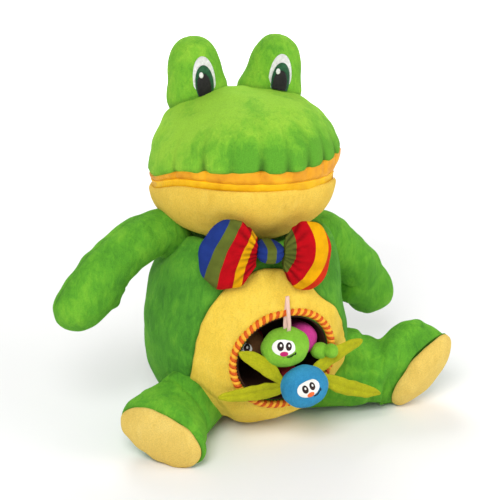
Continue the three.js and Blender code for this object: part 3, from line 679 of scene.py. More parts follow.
# Along the arm: the share, and the half sizes beside the spine and level with it
ARM_SIZES = {
    "right": np.array([
        (0.0, 17, 17), (0.15, 21.5, 19), (0.3, 21, 20), (0.5, 22, 20.5), (0.6, 25, 19.5), (0.7, 25, 19),
        (0.8, 23.5, 19), (0.9, 19, 18), (1.0, 18, 17),
    ]),
    "left": np.array([
        (0.0, 17, 17), (0.15, 20.5, 18), (0.3, 22, 20), (0.5, 23.5, 20), (0.62, 25, 19.5), (0.74, 26, 19),
        (0.84, 24.5, 19), (0.92, 21, 18), (1.0, 18, 17),
    ]),
}
HAND_END, ARM_ROOT = {"right": 0.87, "left": 0.81}, 17
HIP_SPAN, HIP_FORWARD, HIP_RADIUS, LEG_RADIUS = 50, 22, 33, 29.5
SOLE_DOME = {"right": 11, "left": 15}
SOLE_REACH = {"right": 80, "left": 106}
SOLE_HEIGHT = {"right": 24.5, "left": 35}
LEG_COLUMNS = 80
LEG_SPLAY = {"right": 51, "left": 71.5}
FOOT_ROLL = {"right": 70, "left": 36}
FOOT_FLEX = {"right": 6, "left": 26}
FOOT_TURN_IN = {"right": 0, "left": 33}
# Along each leg: the share, the foot's turn, and the half sizes over, under and beside
LEG_SIZES = {
    "right": np.array([
        (0.0, 0, 31.5, 29.5, 22), (0.3, 0, 38.5, 29.5, 23), (0.46, 0.15, 39.5, 29.5, 24),
        (0.58, 0.45, 38, 29.5, 24.5), (0.68, 0.7, 40, 32, 26), (0.8, 0.9, 42.5, 33.5, 28),
        (0.91, 1, 42.5, 40, 27.5), (1.0, 1, 41, 41, 22.5),
    ]),
    "left": np.array([
        (0.0, 0, 36, 31, 31), (0.15, 0, 42, 31, 31), (0.32, 0, 45, 31, 31), (0.48, 0, 39, 31, 31),
        (0.64, 0.08, 29, 31, 29), (0.72, 0.35, 45, 33, 28), (0.79, 0.6, 52, 36, 28),
        (0.88, 0.88, 45.5, 39, 27), (1.0, 1, 41, 41, 25.5),
    ]),
}


def hermite(p0, p1, p2, p3, t):
    """A centripetal spline between p1 and p2."""
    d0, d1, d2 = (np.linalg.norm(b - a) ** 0.5 for a, b in ((p0, p1), (p1, p2), (p2, p3)))
    m1 = ((p1 - p0) / d0 - (p2 - p0) / (d0 + d1) + (p2 - p1) / d1) * d1
    m2 = ((p2 - p1) / d1 - (p3 - p1) / (d1 + d2) + (p3 - p2) / d2) * d1
    t = t[:, None]
    return p1 + m1 * t + (-3 * p1 + 3 * p2 - 2 * m1 - m2) * t**2 + (2 * p1 - 2 * p2 + m1 + m2) * t**3


def spline(points, count=200):
    """Evenly spaced points on a smooth curve through points, and the heading at each."""
    points = np.asarray(points, float)
    ends = [2 * points[0] - points[1], *points, 2 * points[-1] - points[-2]]
    t = np.linspace(0, 1, 40, endpoint=False)
    dense = np.vstack([hermite(*ends[i : i + 4], t) for i in range(len(points) - 1)] + [points[-1:]])
    run = np.concatenate([[0], np.cumsum(np.linalg.norm(np.diff(dense, axis=0), axis=1))])
    even = np.linspace(0, run[-1], count)
    curve = np.stack([np.interp(even, run, dense[:, k]) for k in range(3)], -1)
    return curve, unit(np.gradient(curve, axis=0))


def soft_table(table, shares):
    """A table's rows at the given shares, rounded between its rows."""
    dense = np.linspace(0, 1, 201)
    rows = np.stack([np.interp(dense, table[:, 0], table[:, k]) for k in range(1, table.shape[1])], -1)
    kernel = np.hanning(17)
    kernel /= kernel.sum()
    padded = np.vstack([np.repeat(rows[:1], 8, 0), rows, np.repeat(rows[-1:], 8, 0)])
    rows = np.stack([np.convolve(padded[:, k], kernel, "valid") for k in range(rows.shape[1])], -1)
    return np.stack([np.interp(shares, dense, rows[:, k]) for k in range(rows.shape[1])], -1)


def arm_line(side):
    sign = SIDES[side]
    outward = turned((sign, 0, 0), rotation((0, 0, 1), sign * ARM_SWEEP[side]))
    return spline(ARM_POINTS[side]), np.cross(outward, UP)


def arm_sizes(shares, side):
    beside, level = soft_table(ARM_SIZES[side], shares).T
    ended = np.clip((shares - HAND_END[side]) / (1 - HAND_END[side]), 0, 1)
    closing = (1 - ended**2.2) ** (1 / 2)
    return beside * closing, level * closing


def leg_frames(side):
    """The hip, the sole's middle, its normal and toe directions, and the leg's heading."""
    sign = SIDES[side]
    hip = np.array([sign * HIP_SPAN, -HIP_FORWARD, HIP_RADIUS - 0.5], float)
    outward = turned(FORWARD, rotation((0, 0, 1), sign * LEG_SPLAY[side]))
    level = np.cross(outward, UP) * -sign
    roll = math.radians(FOOT_ROLL[side])
    toe = UP * math.cos(roll) + level * math.sin(roll)
    beside = np.cross(outward, toe)
    flex = rotation(beside, FOOT_FLEX[side])
    if turned(outward, flex)[2] > outward[2]:
        flex = rotation(beside, -FOOT_FLEX[side])
    sole = hip + outward * SOLE_REACH[side]
    sole[2] = SOLE_HEIGHT[side]
    turn_in = rotation(UP, -sign * FOOT_TURN_IN[side])
    return hip, sole, turned(turned(outward, flex), turn_in), turned(turned(toe, flex), turn_in), outward


def leg_rings(side, shares, columns, grow=0.0):
    hip, sole, normal, toe, outward = leg_frames(side)
    turn, *half = soft_table(LEG_SIZES[side], shares).T
    rings = []
    angle = turns(columns)
    for i, share in enumerate(shares):
        along = unit(outward * (1 - turn[i]) + normal * turn[i])
        over = unit(UP * (1 - turn[i]) + toe * turn[i])
        beside = unit(np.cross(along, over))
        over = np.cross(beside, along)
        reach = np.where(np.cos(angle) > 0, half[0][i], half[1][i]) + grow
        across = np.outer((half[2][i] + grow) * np.sin(angle), beside)
        rings.append(hip + (sole - hip) * share + np.outer(reach * np.cos(angle), over) + across)
    return np.array(rings), sole, normal


ARM_LINES = {side: arm_line(side) for side in SIDES}


def limb_clearance(points, side):
    """How far points are from the near part of an arm and of a leg."""
    (curve, _), _ = ARM_LINES[side]
    beside, over = arm_sizes(np.linspace(0, 1, len(curve)), side)
    arm = np.min([
        np.linalg.norm(points - curve[i], axis=-1) - (beside[i] + over[i]) / 2 for i in range(0, 150, 5)
    ], axis=0)
    hip, sole, *_ = leg_frames(side)
    leg = np.min([
        np.linalg.norm(points - (hip + (sole - hip) * share), axis=-1) - LEG_RADIUS
        for share in np.linspace(0, 0.5, 12)
    ], axis=0)
    return arm, leg


SHOULDER_TOPS = ((-56, -22, 164), (54, -22, 164))
SHOULDER_RISE, SHOULDER_WIDTH = 10, 24
CHIN_GAP, CHIN_SOFTNESS = 1.0, 1.5
LIMB_DIP, LIMB_DIP_WIDTH = 3.5, 5.0
PANEL_RECESS, PANEL_EDGE_RECESS = 4.2, 2.4
# The hollow in the torso's left side, under the arm
HOLLOW_DEPTH, HOLLOW_LEVEL, HOLLOW_WIDTH = 8, 118, 42


def settle(points):
    """The torso's skin makes way for the chin, and dips softly where the limbs are sewn on."""
    away = points - TORSO_CENTER
    radius = np.linalg.norm(away, axis=-1)
    heading = away / radius[..., None]
    here = lambda: TORSO_CENTER + heading * radius[..., None]
    for top in SHOULDER_TOPS:
        radius += SHOULDER_RISE * bump(np.linalg.norm(points - np.array(top), axis=-1), SHOULDER_WIDTH)
    for _ in range(10):
        short = CHIN_GAP - head_clearance(here())
        radius -= np.where(short > -6, np.log1p(np.exp(short / CHIN_SOFTNESS)) * CHIN_SOFTNESS, 0) * 0.8
    clearances = [clearance for side in SIDES for clearance in limb_clearance(here(), side)]
    radius -= sum(LIMB_DIP * bump(np.maximum(clearance, 0), LIMB_DIP_WIDTH) for clearance in clearances)
    settled = here()
    under_arm = smooth(52, 92, settled[..., 0]) * bump(settled[..., 2] - HOLLOW_LEVEL, HOLLOW_WIDTH)
    settled[..., 0] -= HOLLOW_DEPTH * under_arm
    room, inside = over_neck(settled)
    settled[..., 2] = np.where(inside, np.minimum(settled[..., 2], NECK_PIVOT[2] - room), settled[..., 2])
    return np.maximum(settled, ON_FLOOR)


def torso():
    phi = turns(TORSO_COLUMNS)
    inner, edge = pocket_angle(phi), panel_angle(phi)
    bag = lining_rings(BAG_GAP, np.linspace(BAG_END_SHARE, 0, 30), phi)
    covered = (0.1, 0.3, 0.5, 0.7, 0.85, 0.95)
    under = [torso_points(inner + (edge - inner) * share, phi, PANEL_RECESS) for share in covered]
    shell = [torso_points(edge - 0.004, phi, PANEL_EDGE_RECESS)]
    for share in np.linspace(0, 1, 84, endpoint=False):
        shell.append(torso_points(edge + (math.pi - edge) * share, phi, 0.9 * math.exp(-60 * share)))
    back = settle(torso_points(np.array([math.pi]), np.array([0.0])))[0]
    rings = np.vstack([bag, settle(np.array([*under, *shell]))])
    piece = make("torso_skin", rows_mesh(rings, first=bag_end(BAG_GAP), last=back), DEEP_PLUSH)
    panel_seam = torso_points(edge, phi)
    up = torso_points(np.linspace(math.radians(75), math.pi, 60), np.full(60, math.pi / 2))
    down = torso_points(np.linspace(math.pi, math.radians(120), 40), np.full(40, -math.pi / 2))
    back_seam = np.vstack([up, down])

    def shape(p):
        height = lumps(p, 60, 3) * 0.9 + lumps(p, 24, 4) * 0.35
        height += sewn(*near(p, panel_seam, closed=True), (1.1, 3.0), (0.35, 9), 4.5)
        height += sewn(*near(p, back_seam), (1.3, 1.6), (0.5, 8), 3.2, swing=0.6)
        in_shell = smooth(-9, -6, egg_clearance(p, TORSO, TORSO_CENTER))
        return height * smooth(0, 6, p[:, 2]) * in_shell

    relief(piece, shape)
    # Painted shade along the panel's seam and the back seam
    paint_seam_shade(piece, (panel_seam, 0.8, 1.6, True), (back_seam, 0.7, 1.3, False))
    dress(piece, "torso", "green_plush", "torso", fill=0.8)


def belly_panel():
    phi = turns(TORSO_COLUMNS)
    inner, outer = pocket_angle(phi), panel_angle(phi)
    shares = np.linspace(0, 1, 44)
    ring = lambda share, by: torso_points(inner + (outer - inner) * share, phi, by)
    skin = [ring(share, 1.6 * bump(share - 1, 0.02) + 1.2 * bump(share, 0.02) - 0.4) for share in shares]
    under = [ring(share, PANEL_THICKNESS) for share in shares[::-4]]
    points, faces = rows_mesh([*skin, *under], wrap=True)
    piece = make("belly_panel_skin", (settle(points), faces), YELLOW_PLUSH)
    seam, rim = torso_points(outer, phi), torso_points(inner, phi)

    def shape(p):
        at_seam, run = near(p, seam, closed=True)
        at_rim, rim_run = near(p, rim, closed=True)
        height = lumps(p, 34, 8) * 0.8
        height -= 0.9 * bump(at_seam, 2.4)
        height += 0.45 * bump(at_seam - 6, 7) * np.sin(run / 3.6 + np.sin(run / 17) * 2)
        height += 0.8 * bump(at_rim - 7, 6) * np.sin(rim_run / 5.2 + 1.5 * np.sin(rim_run / 23))
        return height * smooth(0, 6, p[:, 2])

    relief(piece, shape)
    # Painted shade along the panel's seam and round the pocket's rim
    paint_seam_shade(piece, (seam, 0.7, 1.4, True), (rim, 0.8, 3.0, True))
    dress(piece, "torso", "yellow_plush", "belly_panel", fill=0.6)


# Helpers for pieces that meet

def pushed_out(points, half, center, gap=SEAM_GAP, matrix=np.eye(4)):
    """Moves the points that lie inside an egg out to its surface; matrix places the egg."""
    local = moved(points, np.linalg.inv(matrix))
    for _ in range(6):
        short = gap - egg_clearance(local, half, center)
        local = local + unit(local - center) * np.maximum(short, 0)[..., None]
    return moved(local, matrix)


def over_neck(points, gap=1.0):
    """How far a skin has to be from the neck's middle to clear its ball, and whether it lies over it."""
    away = points - NECK_PIVOT
    room = (NECK_RADIUS + gap) ** 2 - (away[..., :2] ** 2).sum(-1)
    return np.sqrt(np.maximum(room, 0)), room > 0


def hoops(path, wide, beside, deep, over, angle):
    """A ring of points round each point of a path."""
    return (
        path[:, None]
        + beside[:, None] * (wide * np.cos(angle))[..., None]
        + over[:, None] * (deep * np.sin(angle))[..., None]
    )


# Pocket
LINING_THICKNESS, LINING_FOLD, POCKET_DEPTH, POCKET_SQUARENESS = 1.6, 1.2, 84, 3.6
BAG_GAP, BAG_END_SHARE = 0.6, 0.985
PIPING_RADIUS, CORD_PITCH = 3.4, 6.5


def bag_end(outset):
    return np.array([0, -TORSO["front"] + POCKET_DEPTH + outset, TORSO_CENTER[2]])


def lining_rings(outset, shares, phi, fold=0.0):
    edge = torso_points(pocket_angle(phi), phi, PANEL_THICKNESS / 2)
    x, z = edge[:, 0], edge[:, 2] - TORSO_CENTER[2]
    reach = np.hypot(x, z)
    rings = []
    for share in shares:
        narrowing = (1 - share**POCKET_SQUARENESS) ** (1 / POCKET_SQUARENESS)
        crease = fold * math.sin(math.pi * min(1, share * 1.3)) * (1 + np.sin(9 * phi + 5 * share)) / 2
        radius = (reach - PIPING_RADIUS) * narrowing + outset - crease * narrowing
        y = edge[:, 1] + (bag_end(0)[1] - edge[:, 1]) * share
        rings.append(np.stack([x / reach * radius, y, TORSO_CENTER[2] + z / reach * radius], -1))
    return np.array(rings)


def pocket_lining():
    phi, shares = turns(120), np.linspace(0, BAG_END_SHARE, 40)
    outer, inner = (lining_rings(outset, shares, phi, LINING_FOLD) for outset in (0, -LINING_THICKNESS))
    form = rows_mesh(np.vstack([outer[::-1], inner]), first=bag_end(0), last=bag_end(-LINING_THICKNESS))
    piece = make("pocket_lining_cloth", form, DARK_LINING)
    dress(piece, "torso", "pocket_lining", "pocket_lining")


def pocket_piping():
    """A twisted cord of a yellow and an orange strand round the pocket's rim."""
    phi, angle = turns(600), turns(24)
    path = torso_points(pocket_angle(phi), phi)
    along = unit(np.roll(path, -1, 0) - np.roll(path, 1, 0))
    beside = unit(np.cross(along, path - TORSO_CENTER))
    steps = np.linalg.norm(np.roll(path, -1, 0) - path, axis=1)
    run = np.concatenate([[0], np.cumsum(steps)[:-1]])
    twists = round(steps.sum() / CORD_PITCH)
    strand = np.cos(angle - (run / steps.sum() * twists * 2 * math.pi)[:, None])
    radius = PIPING_RADIUS * (0.72 + 0.33 * np.abs(strand) ** 0.8)
    rings = hoops(path, radius, beside, radius, np.cross(beside, along), angle)
    nodes = Nodes("twisted_cord")
    color = nodes.mix(nodes.painted("strand"), srgb(206, 84, 12), srgb(246, 174, 44))
    fibres = nodes.noise(0.7)
    color = nodes.shaded(0.5, color, fibres, (0.3, 0.6), (0.7, 1.1))
    material = nodes.finish(color, 0.6, {"Normal": nodes.relief(fibres, 0.3)})
    piece = make("pocket_piping_cord", rows_mesh(rings, wrap=True), material)
    paint(piece, "strand", lambda p: (strand > 0).ravel())
    dress(piece, "torso", "piping", "pocket_piping")


# Head
HEAD_COLUMNS = 288
LIP_FRONT_RISE, LIP_CORNER_RISE = 11, 9
# Pleats along the lips: their directions, and how deep each is
LIP_PLEATS = (
    (-62, 0.5), (-41, 1), (-25, 0.35), (-9, 1), (5, 0.7), (18, 0.8), (32, 0.9), (47, 0.8), (63, 0.6),
)
# The jaw's dart, in the head's own frame
DART = np.array([(4.0, -66, -38), (10.0, -92, -14)])


def lip_height(points):
    """The seam between the snout and the palate: higher towards the frog's left, and low behind."""
    share = points[..., 0] / SNOUT["side"]
    sideways = np.where(share > 0, LIP_LEFT * share, LIP_RIGHT * np.abs(share) ** 3)
    behind = smooth(15, 50, points[..., 1])
    return (LIP_FRONT + sideways) * (1 - behind) + LIP_BEHIND * behind


def floor_height(points):
    return np.full(points.shape[:-1], FLOOR_SEAM)


def seam_polar(half, center, height_of):
    """Where each column of an egg comes down to a seam."""
    phi = turns(HEAD_COLUMNS)
    low, high = np.full(len(phi), 0.3), np.full(len(phi), math.pi)
    for _ in range(30):
        middle = (low + high) / 2
        points = egg_points(half, center, around(UP, BACK, middle, phi))
        above = points[:, 2] > height_of(points)
        low, high = np.where(above, middle, low), np.where(above, high, middle)
    return low


def head_rings(half, center, start, end, shares, by=0.0):
    phi = turns(HEAD_COLUMNS)
    directions = [around(UP, BACK, start + (end - start) * share, phi) for share in shares]
    return np.array([egg_points(inset(half, by), center, d) for d in directions])


def pleats(points, width):
    azimuth = np.degrees(np.arctan2(points[..., 0], -points[..., 1]))
    return sum(depth * bump(azimuth - at, width) for at, depth in LIP_PLEATS)


def smile(points):
    """The lips rise towards the front of the mouth and at its left corner."""
    rise = LIP_FRONT_RISE * smooth(-5, 55, -points[..., 1])
    corner = np.clip(points[..., 0] / SNOUT["side"], 0, 1) ** 3
    rise = rise + LIP_CORNER_RISE * corner * smooth(0, 14, points[..., 2])
    lifted = points.copy()
    lifted[..., 2] += rise * bump(points[..., 2], 34)
    return lifted


def before_smile(points):
    """Where points on the finished head lay before they were placed and the lips were lifted."""
    lifted = plain = moved(points, HEAD_INVERSE)
    for _ in range(5):
        plain = plain + lifted - smile(plain)
    return plain


def head_skin(name, form, height, center, material, held=None):
    """A head piece: its plain form is filled as cloth where held is given, and then takes its relief."""
    base, faces = form
    plain = moved(smile(base), HEAD_FRAME)
    relieved = moved(smile(base + unit(base - center) * height(base)[..., None]), HEAD_FRAME)
    piece = make(name, (plain, faces), material)
    if held is not None:
        puffed(piece, 2.0, lambda p: held(base), frames=10)
    return sculpt(piece, lambda p, n: p + relieved - plain)


def tucked(points, share, top=math.inf):
    """Draws a piece in towards the frog's left corner of the mouth, below a height."""
    tucks = points.copy()
    reach = np.clip(points[..., 0] / SNOUT["side"], 0, 1)
    below = smooth(top, top - 12, points[..., 2]) if top < math.inf else 1
    tucks[..., 0] *= 1 - share * reach**2 * below
    return tucks


def slimmed(points):
    """Draws the head in at the sides below the eyes."""
    slim = points.copy()
    left = points[..., 0] > 0
    slim[..., 0] *= 1 - np.where(left, 0.05, 0.07) * bump(points[..., 2] - 52, 22)
    slim[..., 0] *= 1 - np.where(left, 0.035, 0) * bump(points[..., 2] - 26, 15)
    return slim


def snout():
    seam = seam_polar(SNOUT, SNOUT_CENTER, lip_height)
    rings = slimmed(np.vstack([
        head_rings(SNOUT, SNOUT_CENTER, 0, seam, np.linspace(0.015, 1, 96)),
        head_rings(SNOUT, SNOUT_CENTER, 0, seam, (1.004, 1.0, 0.9, 0.6), 2.0),
    ]))
    over_lip = lambda p: np.maximum(p[:, 2] - lip_height(p), 0)

    def height(p):
        above = over_lip(p)
        fold = np.exp(-above / 13) * pleats(p, 2.4)
        puff = 2.2 * smooth(0, 5, above) * np.exp(-above / 14)
        return lumps(p, 70, 21) * 1.1 + lumps(p, 26, 22) * 0.4 + puff - 5 * fold

    def held(p):
        above = p[:, 2] - lip_height(p)
        return (above < 3) | (pleats(p, 1.5) * (above < 16) > 0.6)

    # Painted light and shade on the snout: lighter on top and on the frog's right side, which face the key
    # light, and darker at the front below the middle, with a little random variation
    def painted_light(p):
        high = smooth(20, 75, p[:, 2])
        front = smooth(10, -70, p[:, 1]) * bump(p[:, 2] - 32, 24) * smooth(-70, -20, p[:, 0])
        return 0.2 * high - 0.26 * front + 0.07 * smooth(-30, -80, p[:, 0]) + 0.05 * lumps(p, 34, 25)

    # Painted shade in the pleats' creases, darkest at the lip
    creases = lambda p: np.minimum(1.7 * np.exp(-over_lip(p) / 17) * pleats(p, 1.7), 1)
    form = rows_mesh(rings, first=egg_points(SNOUT, SNOUT_CENTER, UP), last=SNOUT_CENTER + UP)
    piece = head_skin("snout_skin", form, height, SNOUT_CENTER, BRIGHT_PLUSH, held)
    # Painted shade in the pleats' creases
    paint(piece, "seam", lambda p: creases(before_smile(p)))
    # The snout keeps its painted light and shade for its material
    paint(piece, "painted_light", lambda p: painted_light(before_smile(p)))
    dress(piece, "upper_head", "green_plush", "snout", fill=0.9)


def palate():
    seam, edge = seam_polar(PALATE, SNOUT_CENTER, lip_height), math.radians(112)
    rings = np.vstack([
        head_rings(PALATE, SNOUT_CENTER, seam - 0.02, edge, [0], 2.0),
        head_rings(PALATE, SNOUT_CENTER, seam, edge, np.linspace(0.02, 1, 36), 0.7),
        head_rings(PALATE, SNOUT_CENTER, edge, math.pi, np.linspace(0.08, 0.98, 14), 0.7),
    ])

    def height(p):
        below = np.maximum(lip_height(p) - p[:, 2], 0)
        return -2.6 * pleats(p, 1.7) * bump(below - 2, 9) + 0.25 * lumps(p, 14, 31)

    low = egg_points(PALATE, SNOUT_CENTER, -UP)
    form = rows_mesh(tucked(rings, PALATE_TUCK, top=12), first=SNOUT_CENTER - UP, last=low)
    piece = head_skin("palate_cloth", form, height, SNOUT_CENTER, GOLD_LINING)
    dress(piece, "upper_head", "gold_lining", "palate", fill=0.7)


def jaw():
    seam = seam_polar(JAW, JAW_CENTER, floor_height)
    rings = np.vstack([
        head_rings(JAW, JAW_CENTER, math.pi, seam, np.linspace(0.015, 1, 88)),
        head_rings(JAW, JAW_CENTER, math.pi, seam, (1.0, 0.97, 0.7), 2.2),
    ])

    def height(p):
        below = np.maximum(FLOOR_SEAM - p[:, 2], 0)
        roll = 1.8 * smooth(0, 3, below) * np.exp(-below / 8)
        gathers = 0.7 * np.exp(-below / 7) * pleats(p, 2.2)
        return lumps(p, 60, 41) * 0.9 + roll - 1.3 * bump(near(p, DART)[0], 1.8) - gathers

    def held(p):
        return (p[:, 2] > FLOOR_SEAM - 2) | (near(p, DART)[0] < 2) | (p[:, 2] < -34)

    def above_neck(p, n):
        rise, inside = over_neck(p)
        floor = np.where(inside, NECK_PIVOT[2] + rise, -np.inf)
        return np.stack([p[:, 0], p[:, 1], np.maximum(p[:, 2], floor)], -1)

    form = rows_mesh(tucked(rings, JAW_TUCK), first=egg_points(JAW, JAW_CENTER, -UP), last=JAW_CENTER)
    piece = head_skin("jaw_skin", form, height, JAW_CENTER, BUFF_PLUSH, held)
    sculpt(piece, above_neck)
    # Painted shade along the dart
    paint_seam_shade(piece, (moved(DART, HEAD_FRAME), 0.6, 1.4, False))
    dress(piece, "lower_head", "yellow_plush", "jaw", fill=0.85)


def mouth_floor():
    """The floor of the mouth, with a soft roll along its rim and a wall down inside the jaw."""
    seam = seam_polar(JAW, JAW_CENTER, floor_height)
    shares = [*np.linspace(0.03, 0.9, 16), *np.linspace(0.91, 0.995, 16)]
    rings = head_rings(JAW, JAW_CENTER, 0, seam, shares)
    reach = lambda p: np.hypot(p[..., 0] / JAW["side"], p[..., 1] / JAW["front"])
    rings[..., 2] += FLOOR_ROLL * smooth(0.82, 0.92, reach(rings))
    rim = rings[-1:] * (0.99, 0.99, 1)
    rings = tucked(np.vstack([rings, rim - 0.8 * UP, rim - 7 * UP]), JAW_TUCK)

    def height(p):
        return 0.15 * lumps(p, 12, 51) - 0.7 * pleats(p, 1.3) * smooth(0.9, 1, reach(p))

    form = rows_mesh(rings, first=egg_points(JAW, JAW_CENTER, UP), last=JAW_CENTER + 4 * UP)
    piece = head_skin("mouth_floor_cloth", form, height, JAW_CENTER, BRIGHT_LINING)
    dress(piece, "lower_head", "gold_lining", "mouth_floor", fill=0.6)


def neck():
    piece = make("neck_skin", egg_form(ball(NECK_RADIUS), NECK_PIVOT, 64, 32), DEEP_PLUSH)
    relief(piece, lambda p: -0.5 + 0.4 * lumps(p, 18, 61))
    dress(piece, "neck", "green_plush", "neck", fill=0.9)


# Eyes: each layer's material, its share of the eye, how far up it looks, and how far each is turned
EYE_WIDTH, EYE_HEIGHT, EYE_PATCH_THICKNESS, EYE_TURN_IN = 10.5, 18.5, 1.2, 4
EYE_LAYERS = (
    ("white", SATIN_WHITE, 1.0, 4, {"right": 0, "left": 0}),
    ("iris", SATIN_GREEN, 0.76, 0.5, {"right": -2, "left": 0}),
    ("pupil", SATIN_BLACK, 0.55, -4.5, {"right": -5, "left": -2}),
)
GLINT_WIDTH, GLINT_HEIGHT, GLINT_UP, GLINT_TURN = 1.5, 2.0, 18, -9


def bump_frame(side):
    sign = SIDES[side]
    at = (sign * BUMP_SPACING[side], BUMP_BACK, BUMP_HEIGHT)
    return HEAD_FRAME @ translation(at) @ rotation((0, 1, 0), sign * BUMP_SPLAY)


def eye_patch(name, side, wide, tall, rise, layer, material, turn, columns=72):
    looking = turned(FORWARD, rotation((1, 0, 0), -rise))
    looking = turned(looking, rotation((0, 0, 1), -SIDES[side] * EYE_TURN_IN + turn))
    over = unit(-np.cross((1, 0, 0), looking))
    lift = SEAM_GAP + layer * (EYE_PATCH_THICKNESS + SEAM_GAP)
    edge = lambda phi: oval(phi, wide / BUMP["front"], tall / BUMP["front"])
    points, faces = patch_form(BUMP, ORIGIN, looking, over, edge, lift, EYE_PATCH_THICKNESS * 0.8, columns)
    points = pushed_out(moved(points, bump_frame(side)), SNOUT, SNOUT_CENTER, matrix=HEAD_FRAME)
    return make(name, (points, faces), material)


def eyes():
    over_snout = lambda p: egg_clearance(moved(p, HEAD_INVERSE), SNOUT, SNOUT_CENTER)
    for side, sign in SIDES.items():
        points, faces = egg_form(BUMP, ORIGIN, 96, 64)
        points[:, :2] *= 1 + 0.2 * smooth(8, -22, points[:, 2:])
        inner = smooth(8, 20, -sign * points[:, 0])
        points[:, 0] -= sign * BUMP_FLARE[side] * inner * smooth(14, -16, points[:, 2])
        points = pushed_out(moved(points, bump_frame(side)), SNOUT, SNOUT_CENTER, -5, HEAD_FRAME)
        piece = make(f"eye_bump_{side}_skin", (points, faces), BRIGHT_PLUSH)
        relief(piece, lambda p: -0.2 + 0.45 * np.minimum(lumps(p, 30, 71) + 0.4 * lumps(p, 12, 72), 0))
        relief(piece, lambda p: -0.8 * bump(over_snout(p) - 1, 3) * (1 + 0.5 * np.sin(p[:, 0] * 0.9)))
        # Painted shade where the bump sinks into the snout
        paint(piece, "seam", lambda p: 0.6 * bump(over_snout(p), 2))
        dress(piece, "upper_head", "green_plush", f"eye_bump_{side}", fill=0.9)
        for layer, (part, material, share, rise, turn) in enumerate(EYE_LAYERS):
            name, size = f"eye_{part}_{side}", (share * EYE_WIDTH, share * EYE_HEIGHT)
            patch = eye_patch(f"{name}_stitch", side, *size, rise, layer, material, turn[side])
            dress(patch, "upper_head", f"eye_{part}", name)
        glint = eye_patch(
            f"eye_glint_{side}", side, GLINT_WIDTH, GLINT_HEIGHT, GLINT_UP, len(EYE_LAYERS), SATIN_WHITE,
            GLINT_TURN, columns=24,
        )
        dress(glint, "upper_head", "eye_white")


for build in (torso, belly_panel, pocket_lining, pocket_piping, neck, snout, palate, jaw, mouth_floor, eyes):
    build()


# Arms and legs
ARM_SEAM = slice(40, 196)
THUMB_SHARE, NOTCH_SHARE, HEEL_SHARE = 0.7, 0.63, 0.84
THUMB_RISE, NOTCH_DEPTH, HEEL_RISE = 6.5, 3.4, 2.5


def root_rings(at, along, first_ring, radius):
    """Rings of the rounded root behind a limb's first one."""
    angles = np.linspace(math.pi / 2, 0, 8, endpoint=False)[1:]
    return [at - along * radius * math.sin(a) + (first_ring - at) * math.cos(a) for a in angles]


def arm(side):
    (curve, heading), level = ARM_LINES[side]
    beside = unit(np.cross(heading, level))
    width, thickness = arm_sizes(np.linspace(0, 1, len(curve)), side)
    levels = np.broadcast_to(level, curve.shape)
    rings = hoops(curve, thickness[:, None], levels, width[:, None], beside, turns(64))[:-1]
    root = root_rings(curve[0], heading[0], rings[0], ARM_ROOT)
    form = rows_mesh([*root, *rings], first=curve[0] - heading[0] * ARM_ROOT, last=curve[-1])
    length = np.linalg.norm(np.diff(curve, axis=0), axis=1).sum()
    inner_edge, outer_edge = curve + beside * width[:, None], curve - beside * width[:, None]
    inner_seam, outer_seam = inner_edge[ARM_SEAM], outer_edge[ARM_SEAM]
    at_share = lambda share: int(share * (len(curve) - 1))
    thumb_root, toward = curve[at_share(THUMB_SHARE)], beside[at_share(THUMB_SHARE)]
    nearness = lambda p, share, reach: bump(np.linalg.norm(p - inner_edge[at_share(share)], axis=1), reach)

    def shape(p, n):
        run = near(p, curve)[1] / length
        seam, along = near(p, inner_seam)
        height = 0.9 * lumps(p, 40, 81) + 0.3 * lumps(p, 16, 82)
        height += sewn(seam, along, (0.8, 1.4), (0.35, 6), 2.6)
        height += sewn(*near(p, outer_seam), (0.6, 1.4), (0.25, 6), 2.9)
        height -= 1.8 * bump(run - 0.6 - 0.02 * np.sin(p[:, 0] / 6), 0.013) * smooth(20, 0, seam)
        height -= NOTCH_DEPTH * nearness(p, NOTCH_SHARE, 5)
        height *= 1 - smooth(0.3, 0.12, run)
        thumb = THUMB_RISE * nearness(p, THUMB_SHARE, 9) + HEEL_RISE * nearness(p, HEEL_SHARE, 14)
        thumb *= smooth(0, 10, (p - thumb_root) @ toward)
        return p + n * height[:, None] + toward * thumb[:, None]

    piece = make(f"arm_{side}_skin", form, GREEN_PLUSH)
    puffed(piece, 2.0, lambda p: np.minimum(near(p, inner_seam)[0], near(p, outer_seam)[0]) < SEAM_HELD)
    sculpt(piece, shape)
    # Painted shade along the arm's seams
    paint_seam_shade(piece, (inner_seam, 0.6, 1.2, False), (outer_seam, 0.5, 1.2, False))
    dress(piece, f"arm_{side}", "green_plush", f"arm_{side}", fill=0.85)


